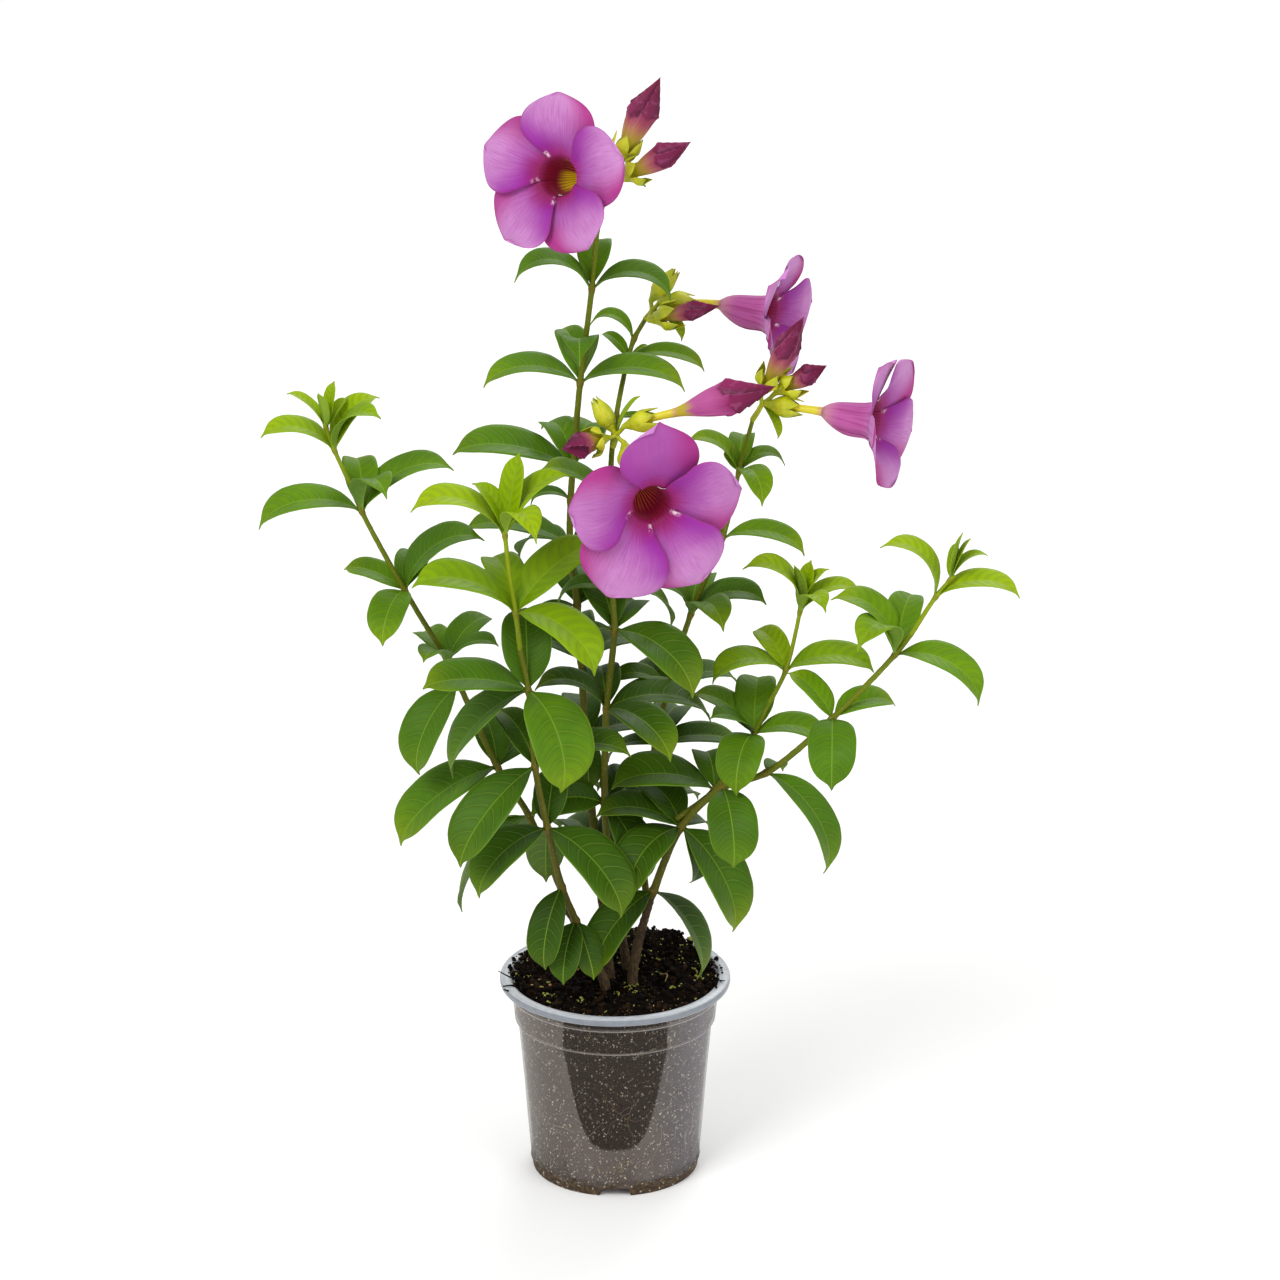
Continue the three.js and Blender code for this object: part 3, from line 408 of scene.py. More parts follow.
class Paint:
    """A material built from nodes."""

    def __init__(self, name: str) -> None:
        """Starts an empty material.

        Args:
            name: The material's name.
        """
        self.material = bpy.data.materials.new(name)
        self.material.use_nodes = True
        self.tree = self.material.node_tree
        self.tree.nodes.clear()

    def node(
        self, kind: str, settings: Mapping[str, Any],
        inputs: Sequence[Any] | Mapping[str | int, Any] = (), output: int = 0,
    ) -> Signal:
        """Adds a node.

        Args:
            kind: The node's type.
            settings: Its settings, which are made first; `stops` are a ramp's stops.
            inputs: Values or links of its sockets, in order or by name or number.
            output: Which of its outputs is wanted.

        Returns:
            The output as a value.
        """
        made = self.tree.nodes.new(kind)
        for key, value in settings.items():
            if key == "stops":
                self._ramp(made, value)
            else:
                setattr(made, key, value)
        pairs = inputs.items() if isinstance(inputs, Mapping) else enumerate(inputs)
        for key, value in pairs:
            socket = made.inputs[key]
            if isinstance(value, Signal):
                self.tree.links.new(value.socket, socket)
            else:
                socket.default_value = value
        return Signal(self, made.outputs[output])

    @staticmethod
    def _ramp(made: bpy.types.Node, stops: Stops) -> None:
        """Sets the stops of a colour ramp.

        Args:
            made: The ramp's node.
            stops: The position and colour of each.
        """
        elements = made.color_ramp.elements
        while len(elements) < len(stops):
            elements.new(1.0)
        for element, (position, colour) in zip(elements, stops):
            element.position = position
            element.color = colour

    def carried(self, name: str) -> tuple[Signal, Signal, Signal]:
        """The three numbers that the mesh carries under a name."""
        return self.node("ShaderNodeAttribute", {"attribute_name": name}, output=1).split()

    def where(self) -> Signal:
        """The place in the object's own space, in metres."""
        return self.node("ShaderNodeTexCoord", {}, output=3)

    def join(self, x: Value, y: Value, z: Value) -> Signal:
        """A vector from three numbers."""
        return self.node("ShaderNodeCombineXYZ", {}, [x, y, z])

    def noise(self, vector: Signal, scale: float, detail: float = 3.0) -> Signal:
        """Cloudy noise between 0 and 1."""
        inputs = {"Vector": vector, "Scale": scale, "Detail": detail}
        return self.node("ShaderNodeTexNoise", {}, inputs)

    def cells(self, vector: Signal, scale: float, output: int = 0) -> Signal:
        """The distance to the nearest of scattered points, or as output 1 its colour."""
        return self.node("ShaderNodeTexVoronoi", {}, {"Vector": vector, "Scale": scale}, output)

    def ramp(self, value: Signal, stops: Stops) -> Signal:
        """A colour that runs through stops."""
        return self.node("ShaderNodeValToRGB", {"stops": stops}, [value])

    def mix(self, share: Value, low: Signal | Colour, high: Signal | Colour) -> Signal:
        """A colour between two colours."""
        settings = {"data_type": "RGBA", "clamp_factor": True}
        return self.node("ShaderNodeMix", settings, {0: share, 6: low, 7: high}, output=2)

    def coat(self, colour: Signal, *layers: tuple[Value, Signal | Colour]) -> Signal:
        """A colour under layers of others.

        Args:
            colour: The colour below.
            *layers: For each layer, its cover and its colour, from the lowest up.

        Returns:
            The colour that shows.
        """
        for share, layer in layers:
            colour = self.mix(share, colour, layer)
        return colour

    def shade(self, colour: Signal, light: Signal) -> Signal:
        """A colour made lighter or darker by a value round 1."""
        inputs = {0: 1.0, 6: colour, 7: self.join(light, light, light)}
        settings = {"data_type": "RGBA", "blend_type": "MULTIPLY"}
        return self.node("ShaderNodeMix", settings, inputs, output=2)

    def relief(self, height: Signal, strength: float, depth: float) -> Signal:
        """A normal that follows a height, whose full range is `depth` metres."""
        inputs = {"Strength": strength, "Distance": depth, "Height": height}
        return self.node("ShaderNodeBump", {}, inputs)

    def surface(self, **sockets: Any) -> bpy.types.Material:
        """Finishes the material with one Principled shader.

        Args:
            **sockets: Values or links of its sockets, named with _ for a space.

        Returns:
            The material.
        """
        inputs = {key.replace("_", " "): value for key, value in sockets.items()}
        shader = self.node("ShaderNodeBsdfPrincipled", {}, inputs)
        end = self.tree.nodes.new("ShaderNodeOutputMaterial")
        self.tree.links.new(shader.socket, end.inputs["Surface"])
        return self.material


@dataclass(frozen=True)
class Finish:
    """What a surface is made of, painted once for all its pieces."""

    name: str

    @cache
    def material(self) -> bpy.types.Material:
        """The finish as a material."""
        paint = Paint(self.name)
        return paint.surface(**self.sockets(paint))

    def sockets(self, p: Paint) -> Sockets:
        """Paints the finish.

        Args:
            p: Its material in the making.

        Returns:
            Values or links for the shader's sockets.
        """
        raise NotImplementedError


@dataclass(frozen=True)
class LeafFinish(Finish):
    """Satin leaf: colour by age, pale midrib, faint side veins, a greyer underside and painted shade."""

    name: str = "leaf_blade"
    ages: Stops = (
        (0.0, tint(54, 86, 14)), (0.3, tint(70, 108, 14)), (0.55, tint(90, 128, 8)),
        (0.8, tint(116, 148, 4)), (1.0, tint(134, 162, 2)),
    )
    underside: Colour = tint(112, 138, 74)
    midrib: Colour = tint(136, 164, 54)
    yellowed: Colour = tint(150, 168, 16)
    veins: float = 9.5
    # How much darker the painted shade makes the low leaves near the plant's middle.
    shade: float = 0.42

    def sockets(self, p: Paint) -> Sockets:
        """The blade's two sides."""
        along, across, side = p.carried("place")
        age, tone, half = p.carried("mark")
        spread = abs(across)
        where = p.where()
        x, y, z = where.split()
        x, y = x - AXIS.x, y - AXIS.y
        # Painted shade: low leaves near the plant's middle are drawn darker, as if shadowed by the leaves
        # round them.
        inside = (x * x + y * y).fall(0.0004, 0.0075) * z.fall(0.27, 0.38)
        patches = p.noise(where, 45.0)
        fine = p.noise(where, 900.0, 2.0)
        rank = (along + spread ** 1.8 * -0.17 + patches * 0.05 + tone * 0.2) * self.veins
        line = abs(rank.fraction() - 0.5) * 2
        inner = spread.fall(0.72, 0.98) * spread.step(0.02, 0.12)
        vein = line.step(0.84, 0.98) * inner * along.step(0.06, 0.16)
        rib = (spread * half).fall(0.12, 0.42)
        body = p.ramp(age + (tone - 0.5) * 0.2 + (patches - 0.5) * 0.3, self.ages)
        body = p.mix(along.step(0.55, 1.0) * tone * 0.45, body, self.yellowed)
        # Random lighter and darker patches, times the painted shade near the plant's middle.
        body = p.shade(body, (0.85 + patches * 0.38) * (1 - inside * self.shade))
        # Painted shade: the upper side is darker towards the sunk side veins and lighter on the raised
        # panels between them.
        upper = p.shade(body, 1.05 - line.step(0.1, 0.9) * inner * 0.14)
        for share in (vein * 0.2, rib * 0.5, spread.step(0.93, 1.0) * 0.4):
            upper = p.mix(share, upper, self.midrib)
        under = p.coat(body, (0.4, self.underside), ((rib * 0.7).most(vein * 0.5), self.midrib))
        height = (fine * 0.12 - vein * 0.5 - rib * 0.4) * (side * 2 - 1)
        return dict(
            Base_Color=p.mix(side, under, upper),
            Roughness=0.38 + patches * 0.16 + (1 - side) * 0.12,
            Specular_IOR_Level=0.1,
            Normal=p.relief(height, 0.55, 0.0005),
        )


@dataclass(frozen=True)
class StemFinish(Finish):
    """Green to woody stem with lengthways streaks and pale specks."""

    name: str = "stem_skin"
    ages: Stops = (
        (0.0, tint(80, 76, 22)), (0.2, tint(90, 92, 18)), (0.5, tint(100, 114, 14)),
        (0.8, tint(118, 134, 14)), (1.0, tint(140, 158, 16)),
    )
    streak: Colour = tint(112, 84, 28)
    speck: Colour = tint(176, 166, 112)

    def sockets(self, p: Paint) -> Sockets:
        """The streaked skin."""
        length, turn, _ = p.carried("place")
        age, tone, node = p.carried("mark")
        where = p.where()
        grain = p.noise(p.join((turn * 6.283).sine() * 1.6, length * 0.07, tone * 9), 2.2, 4.0)
        dots = p.cells(where, 620.0)
        return dict(
            Base_Color=p.coat(
                p.ramp(age + (grain - 0.5) * 0.3, self.ages),
                (grain.step(0.54, 0.74) * (1 - age * 0.6) * 0.35, self.streak),
                (node * 0.45, self.streak),
                (dots.fall(0.1, 0.24) * 0.4, self.speck),
            ),
            Roughness=0.42 + grain * 0.25,
            Specular_IOR_Level=0.15,
            Normal=p.relief(grain * 0.7 + dots * 0.3, 0.5, 0.0004),
        )


@dataclass(frozen=True)
class BarkFinish(Finish):
    """Dull brown bark with cracks and pale breathing pores."""

    name: str = "bark"
    dark: Colour = tint(40, 26, 12)
    light: Colour = tint(92, 68, 32)
    pore: Colour = tint(126, 108, 72)

    def sockets(self, p: Paint) -> Sockets:
        """The bark."""
        length, turn, _ = p.carried("place")
        where = p.where()
        grain = p.noise(p.join((turn * 6.283).sine() * 2, length * 0.11, turn * 2), 3.0, 5.0)
        cracks = p.noise(where, 420.0, 4.0)
        dots = p.cells(where, 430.0)
        body = p.shade(p.mix(grain.step(0.3, 0.75), self.dark, self.light), 0.7 + cracks * 0.6)
        return dict(
            Base_Color=p.mix(dots.fall(0.08, 0.2) * 0.5, body, self.pore),
            Roughness=0.72 + cracks * 0.2,
            Normal=p.relief(grain * 0.6 + cracks * 0.6, 0.8, 0.0007),
        )


@dataclass(frozen=True)
class PetalFinish(Finish):
    """Velvety violet lobes with a deeper band, pale folds and a dark striped throat that glows as painted
    light.
    """

    name: str = "petal"
    middle: Colour = tint(162, 82, 156)
    pale: Colour = tint(184, 126, 180)
    violet: Colour = tint(136, 28, 140)
    band: Colour = tint(156, 34, 118)
    dusk: Colour = tint(146, 48, 140)
    fold: Colour = tint(236, 204, 220)
    back: Colour = tint(192, 122, 188)
    neck: Colour = tint(176, 84, 150)
    streak: Colour = tint(142, 40, 104)
    foot: Colour = tint(206, 150, 160)
    flush: Colour = tint(136, 6, 92)
    throat: Colour = tint(104, 2, 34)
    gullet: Colour = tint(58, 0, 12)
    stripe: Colour = tint(206, 140, 16)
    amber: Colour = tint(196, 170, 14)

    def sockets(self, p: Paint) -> Sockets:
        """The petal's face, throat and back."""
        reach, across, side = p.carried("place")
        mark, glow, turn = p.carried("mark")
        where = p.where()
        clouds = p.noise(where, 70.0)
        velvet = p.noise(where, 1400.0, 2.0)
        crumple = p.noise(where, 520.0)
        spread = abs(across)
        rays = p.noise(p.join(across * 15, reach * 1.1, mark * 7), 3.2, 4.0)
        face = p.mix((rays * 0.7 + reach * 0.45 + clouds * 0.35).step(0.45, 1.1), self.middle, self.pale)
        near = reach.fall(0.08, 0.7) * (0.5 + across.step(-0.3, 1.0) * 0.7)
        left = across.step(0.3, 1.0) * reach.fall(0.55, 0.98)
        rim = (0 - across).step(0.0, 0.85) * reach.step(0.2, 0.6)
        edge = spread.step(0.9, 1.0).most(reach.step(0.93, 1.0))
        flushed = (reach + (rays - 0.5) * 0.2 + spread * 0.05 + glow * 0.07).fall(0.0, 0.32)
        crease = spread.step(0.72, 0.9) * reach.step(-0.03, 0.03) * reach.fall(0.06, 0.16)
        crease = crease * crumple.step(0.42, 0.56) * (0.3 - glow).step(0.0, 0.5)
        deep = (reach + (rays - 0.5) * 0.22 + glow * 0.07).fall(-0.24, 0.16)
        lines = (turn * 220 + rays * 3).sine().step(0.2, 0.9) * reach.fall(-0.1, 0.12)
        stripes = (turn * 170 + rays * 2).sine().step(0.7, 0.98) * reach.fall(-0.85, -0.4)
        lit = (turn * 260).sine().step(-0.2, 0.7) * glow.step(0.15, 0.75)
        stripes = stripes.most(lit * reach.fall(-0.25, 0.0))
        amber = (0 - glow).step(0.6, 0.9) * reach.fall(-0.8, -0.4) * (0.5 + rays * 0.8)
        amber = amber * (1 - (turn * 200).sine().step(0.0, 0.9) * 0.7)
        face = p.coat(
            p.shade(face, 0.9 + rays * 0.08 + velvet * 0.12),
            (near * 0.9, self.violet),
            (left * 0.9, self.violet),
            (((mark - 1) * 0.1).most(0.0) * 1.4, self.dusk),
            ((rim * (0.55 + clouds * 0.7)).least(0.95), self.band),
            (edge * 0.35, self.band),
            (flushed * 0.9, self.flush),
            (crease * 0.9, self.fold),
            (deep, self.throat),
            (lines * 0.45, self.gullet),
            (stripes * 0.5, self.stripe),
            (amber.least(0.9), self.amber),
        )
        # Painted light: the inner face of the funnel and throat glows in its own colour, to lighten the
        # shade deep in the throat.
        painted_throat_glow = p.mix(side * reach.fall(-0.25, 0.1), tint(0, 0, 0), face)
        ring = turn * 6.283
        folds = p.noise(p.join(ring.sine() * 3, reach * 0.5, (ring + 1.571).sine() * 3), 2.0, 1.0)
        back = p.coat(
            p.mix(reach.step(-0.25, 0.2), self.neck, self.back),
            (folds.step(0.42, 0.72) * reach.fall(-0.1, 0.5) * 0.6, self.streak),
            (reach.fall(-1.05, -0.6) * 0.8, self.foot),
        )
        back = p.shade(back, 0.88 + rays * 0.14 + velvet * 0.1)
        back = p.mix(spread.fall(0.0, 0.12) * reach.step(0.0, 0.3) * 0.35, back, self.neck)
        return dict(
            Base_Color=p.shade(p.mix(side, back, face), 0.93 + clouds * 0.14),
            Roughness=0.52 + rays * 0.12,
            Sheen_Weight=0.05,
            Specular_IOR_Level=0.2,
            # Painted light: the throat's glow.
            Emission_Color=painted_throat_glow,
            Emission_Strength=0.45,
            Normal=p.relief(rays * 0.5 + crumple * crease, 0.35, 0.0005),
        )


@dataclass(frozen=True)
class TubeFinish(Finish):
    """The narrow tube of a flower: yellow-green, then yellow, blushing at the funnel."""

    name: str = "flower_tube"
    base: Colour = tint(184, 188, 16)
    middle: Colour = tint(212, 200, 30)
    end: Colour = tint(190, 134, 104)

    def sockets(self, p: Paint) -> Sockets:
        """The tube."""
        _, turn, share = p.carried("place")
        lines = p.noise(p.join((turn * 6.283).sine() * 3, share * 2, turn * 3), 3.0)
        stops = ((0.0, self.base), (0.45, self.middle), (0.82, self.middle), (1.0, self.end))
        body = p.shade(p.ramp(share, stops), 0.88 + lines * 0.24)
        return dict(Base_Color=body, Roughness=0.42 + lines * 0.1, Normal=p.relief(lines, 0.3, 0.0004))


@dataclass(frozen=True)
class BudFinish(Finish):
    """A furled bud: yellow-green foot, pink to purple body, dark twisted point, painted crease shade and
    sheen.
    """

    name: str = "bud"
    foot: Colour = tint(184, 172, 30)
    low: Colour = tint(180, 84, 146)
    high: Colour = tint(138, 36, 92)
    young_low: Colour = tint(160, 80, 92)
    young_high: Colour = tint(120, 36, 76)
    point: Colour = tint(106, 18, 58)
    # Colour of the painted shade in the folds' creases and under the shoulder's lip.
    dark: Colour = tint(62, 6, 36)
    # Colour of the painted sheen and highlights on the folds.
    edge: Colour = tint(170, 92, 134)

    def sockets(self, p: Paint) -> Sockets:
        """The bud's foot, body and point."""
        share, fold, past = p.carried("place")
        tone, ripe, _ = p.carried("mark")
        lines = p.noise(p.join(fold * 7, share * 2, tone * 5), 3.0)
        clouds = p.noise(p.where(), 260.0)
        corner = abs(fold * 2 - 1)
        high = p.mix(ripe, self.young_high, self.high)
        where = share + (lines - 0.5) * 0.2 - corner * 0.05
        # Painted shade: a dark line just under the shoulder's lip at each fold's corner.
        lip = abs(past + 0.012).fall(0.004, 0.022) * corner.step(0.5, 0.95)
        cone = p.coat(
            p.mix(share.step(0.5, 0.95), p.mix(0.3, high, self.point), self.point),
            # Painted shade over the tucked half of each fold.
            (fold.step(0.3, 0.95) * 0.6, self.dark),
            # Painted sheen: pale streaks over the point.
            (clouds.step(0.5, 0.7) * 0.25, self.edge),
            # Painted highlight along each fold's raised edge, where it laps over the next.
            (fold.fall(0.0, 0.1) * 0.5, self.edge),
            # Painted shade in the crease where each fold slips under the next.
            (fold.step(0.9, 1.0) * 0.9, self.dark),
        )
        body = p.coat(
            p.mix(where.step(0.3, 0.62), p.mix(ripe, self.young_low, self.low), high),
            (where.fall(ripe * -0.06 + 0.1, ripe * -0.26 + 0.44), self.foot),
            # Painted highlight along the folds' corners.
            (corner.step(0.6, 1.0) * 0.3, self.edge),
            (past.step(-0.05, 0.02), cone),
            # Painted shade under the shoulder's lip.
            (lip * 0.6, self.dark),
        )
        return dict(
            Base_Color=p.shade(body, 0.84 + lines * 0.32),
            Roughness=0.46 + lines * 0.15,
            Specular_IOR_Level=0.18,
            Normal=p.relief(lines + clouds * 0.5, 0.4, 0.0004),
        )


@dataclass(frozen=True)
class CalyxFinish(Finish):
    """Yellow-green sepals and stalks with faint lengthways veins."""

    name: str = "calyx"
    low: Colour = tint(170, 178, 12)
    high: Colour = tint(204, 204, 18)
    vein: Colour = tint(132, 148, 8)

    def sockets(self, p: Paint) -> Sockets:
        """The sepals."""
        along, across, _ = p.carried("place")
        tone, _, _ = p.carried("mark")
        clouds = p.noise(p.where(), 160.0)
        lines = abs((across * 11).sine()).step(0.0, 0.35)
        return dict(
            Base_Color=p.coat(
                p.mix(clouds.step(0.3, 0.7), self.low, self.high),
                ((1 - lines) * 0.4 + tone * 0.3, self.vein),
                (along.step(0.75, 1.0) * 0.3, self.vein),
            ),
            Roughness=0.4 + clouds * 0.14,
            Normal=p.relief(lines * 0.6 + clouds * 0.4, 0.35, 0.0004),
        )


@dataclass(frozen=True)
class SoilFinish(Finish):
    """Dark fibrous potting soil."""

    name: str = "potting_soil"
    dark: Colour = tint(8, 4, 2)
    light: Colour = tint(32, 20, 11)
    grit: Colour = tint(158, 132, 96)

    def sockets(self, p: Paint) -> Sockets:
        """The soil."""
        where = p.where()
        clods = p.noise(where, 190.0, 6.0)
        grains = p.cells(where, 700.0)
        specks = p.cells(where, 420.0)
        body = p.shade(p.mix(clods.step(0.42, 0.75), self.dark, self.light), 0.8 + grains * 0.5)
        return dict(
            Base_Color=p.mix(specks.fall(0.07, 0.17) * clods.step(0.4, 0.6), body, self.grit),
            Roughness=0.8 + clods * 0.2,
            Specular_IOR_Level=0.05,
            Normal=p.relief(clods + grains * 0.3, 0.6, 0.0010),
        )


@dataclass(frozen=True)
class LitterFinish(Finish):
    """Loose bits: peat, bark, straw, moss and pale grit, told apart by their mark."""

    name: str = "soil_litter"
    kinds: Stops = (
        (Litter.PEAT.value, tint(12, 7, 4)), (Litter.BARK.value, tint(38, 24, 13)),
        (Litter.STRAW.value, tint(168, 138, 88)), (Litter.MOSS.value, tint(152, 152, 74)),
        (Litter.PALE.value, tint(206, 196, 176)),
    )

    def sockets(self, p: Paint) -> Sockets:
        """The loose bits."""
        kind, tone, _ = p.carried("mark")
        rough = p.noise(p.where(), 800.0, 4.0)
        return dict(
            Base_Color=p.shade(p.ramp(kind, self.kinds), 0.55 + rough * 0.6 + tone * 0.35),
            Roughness=0.74 + rough * 0.25,
            Specular_IOR_Level=0.07,
            Normal=p.relief(rough, 0.8, 0.0006),
        )


@dataclass(frozen=True)
class ClearPlasticFinish(Finish):
    """Thin milky plastic: pale at the rim with painted highlight lines at its edges, hazy over the soil,
    clear where the soil is wet.
    """

    name: str = "clear_plastic"
    haze: Colour = tint(122, 113, 107)
    cool: Colour = tint(126, 121, 126)
    wet: Colour = tint(50, 40, 32)
    rim: Colour = tint(130, 136, 143)
    # Colour of the painted highlight lines along the rim's edges.
    gleam: Colour = tint(204, 208, 214)
    seam: Colour = tint(182, 174, 166)
    speck: Colour = tint(200, 192, 170)
    dirt: Colour = tint(44, 29, 11)
    dust: Colour = tint(92, 70, 38)
    lip_z: float = 0.1055
    rim_z: float = 0.1030
    collar_z: float = 0.0982
    ridge_z: float = 0.0842
    foot_z: float = 0.0062
    patch_top: float = 0.0840
    patch_depth: float = 0.0570
    patch_half: float = 0.0270
    patch_taper: float = 0.4
    patch_middle: float = 0.0003

    def sockets(self, p: Paint) -> Sockets:
        """The wall, rim, wet patch and dirt."""
        where = p.where()
        x, y, z = where.split()
        x = x - AXIS.x - self.patch_middle
        y = y - AXIS.y
        clouds = p.noise(where, 26.0)
        grain = p.noise(where, 260.0)
        drips = p.noise(p.join(x * 90, y * 90, z * 16), 1.0)
        rim = z.step(self.rim_z - 0.0006, self.rim_z + 0.0006)
        depth = ((self.patch_top - z) / self.patch_depth).most(0.0)
        taper = 1 - depth.least(1.0) * self.patch_taper
        patch = (abs(x) / taper / self.patch_half) ** 4.0 + depth ** 5.0 + (drips - 0.5) * 0.1
        wet = patch.fall(0.9, 1.06) * (0 - y).step(0.0, 0.01)
        sides = abs(x).step(0.03, 0.052)
        dirt_top = (grain - 0.5) * 0.012 + (drips - 0.5) * 0.008
        dirty = (z + dirt_top).fall(self.foot_z - 0.001, self.foot_z + 0.0022) * 0.95
        smear = z.fall(0.004, 0.036) * drips.step(0.3, 0.75) * grain.step(0.3, 0.6) * 0.7
        lines = abs(z - self.ridge_z).fall(0.0003, 0.0007)
        lines = lines.most(abs(z - self.collar_z).fall(0.0003, 0.0007))
        # Painted highlight: pale lines along the rim's upper and lower edges.
        painted_rim_highlight = abs(z - self.lip_z).step(0.0012, 0.0018) * rim
        specks = self._bits(p, where, 540.0, 0.23, 0.38)
        specks = specks.most(self._bits(p, where, 280.0, 0.16, 0.3))
        crumbs = p.noise(where, 620.0, 2.0)
        fibres = self._fibres(p, x + z, x - z, y).most(self._fibres(p, z * 1.5, x, y + 1))
        fibres = fibres.most(self._fibres(p, x - z * 0.6, z + x * 0.6, y + 2))
        bits = specks.most(fibres) * (1 - rim) * (1 - wet * 0.2)
        veil = 0.42 + sides * 0.16 + (clouds - 0.5) * 0.34 + wet * 0.08
        colour = p.coat(
            p.mix(x.step(0.01, 0.05), self.haze, self.cool),
            (wet, self.wet),
            (rim, self.rim),
            (painted_rim_highlight * 0.7, self.gleam),
            (dirty.most(smear), p.mix(crumbs.step(0.42, 0.66), self.dirt, self.dust)),
            ((bits * (grain * 1.4 + 0.1)).least(1.0), self.speck),
            (lines * 0.55, self.seam),
        )
        alpha = (veil + lines * 0.3).most(rim * 0.9).most(dirty).most(smear)
        return dict(
            Base_Color=p.shade(colour, 0.78 + grain * 0.44),
            Roughness=0.2 + clouds * 0.1 + dirty * 0.5,
            Specular_IOR_Level=0.35,
            Alpha=alpha.most(bits * 0.8).least(1.0).most(0.0),
            Normal=p.relief(clouds + drips * 0.3, 0.15, 0.0006),
        )

    def _fibres(self, p: Paint, along: Signal, across: Signal, depth: Signal) -> Signal:
        """Short thin fibres that lie one way."""
        return self._bits(p, p.join(along * 180, across * 700, depth * 180), 1.0, 0.22, 0.11)

    def _bits(self, p: Paint, place: Signal, scale: float, size: float, share: float) -> Signal:
        """Scattered bits, of which only a share is there."""
        near = p.cells(place, scale)
        pick, _, _ = p.cells(place, scale, output=1).split()
        return near.fall(size * 0.7, size) * pick.fall(share, share + 0.02)


@dataclass(frozen=True)
class FloorFinish(Finish):
    """A plain pale floor."""

    name: str = "pale_floor"
    colour: Colour = tint(244, 244, 243)

    def sockets(self, p: Paint) -> Sockets:
        """The floor."""
        return dict(Base_Color=self.colour, Roughness=0.9, Specular_IOR_Level=0.1)


def facing(place: Sequence[float], direction: Sequence[float], spin: float = 0) -> Matrix:
    """A frame at a place whose third axis points along a direction.

    Args:
        place: Its origin.
        direction: Where its third axis points.
        spin: How many degrees it is turned about that axis from straight up.

    Returns:
        The frame as a matrix.
    """
    forward = Vector(direction).normalized()
    right = UP.cross(forward).normalized()
    upward = forward.cross(right)
    turned = Matrix((right, upward, forward)).transposed().to_4x4()
    turned = turned @ Matrix.Rotation(radians(spin), 4, "Z")
    return Matrix.Translation(Vector(place)) @ turned


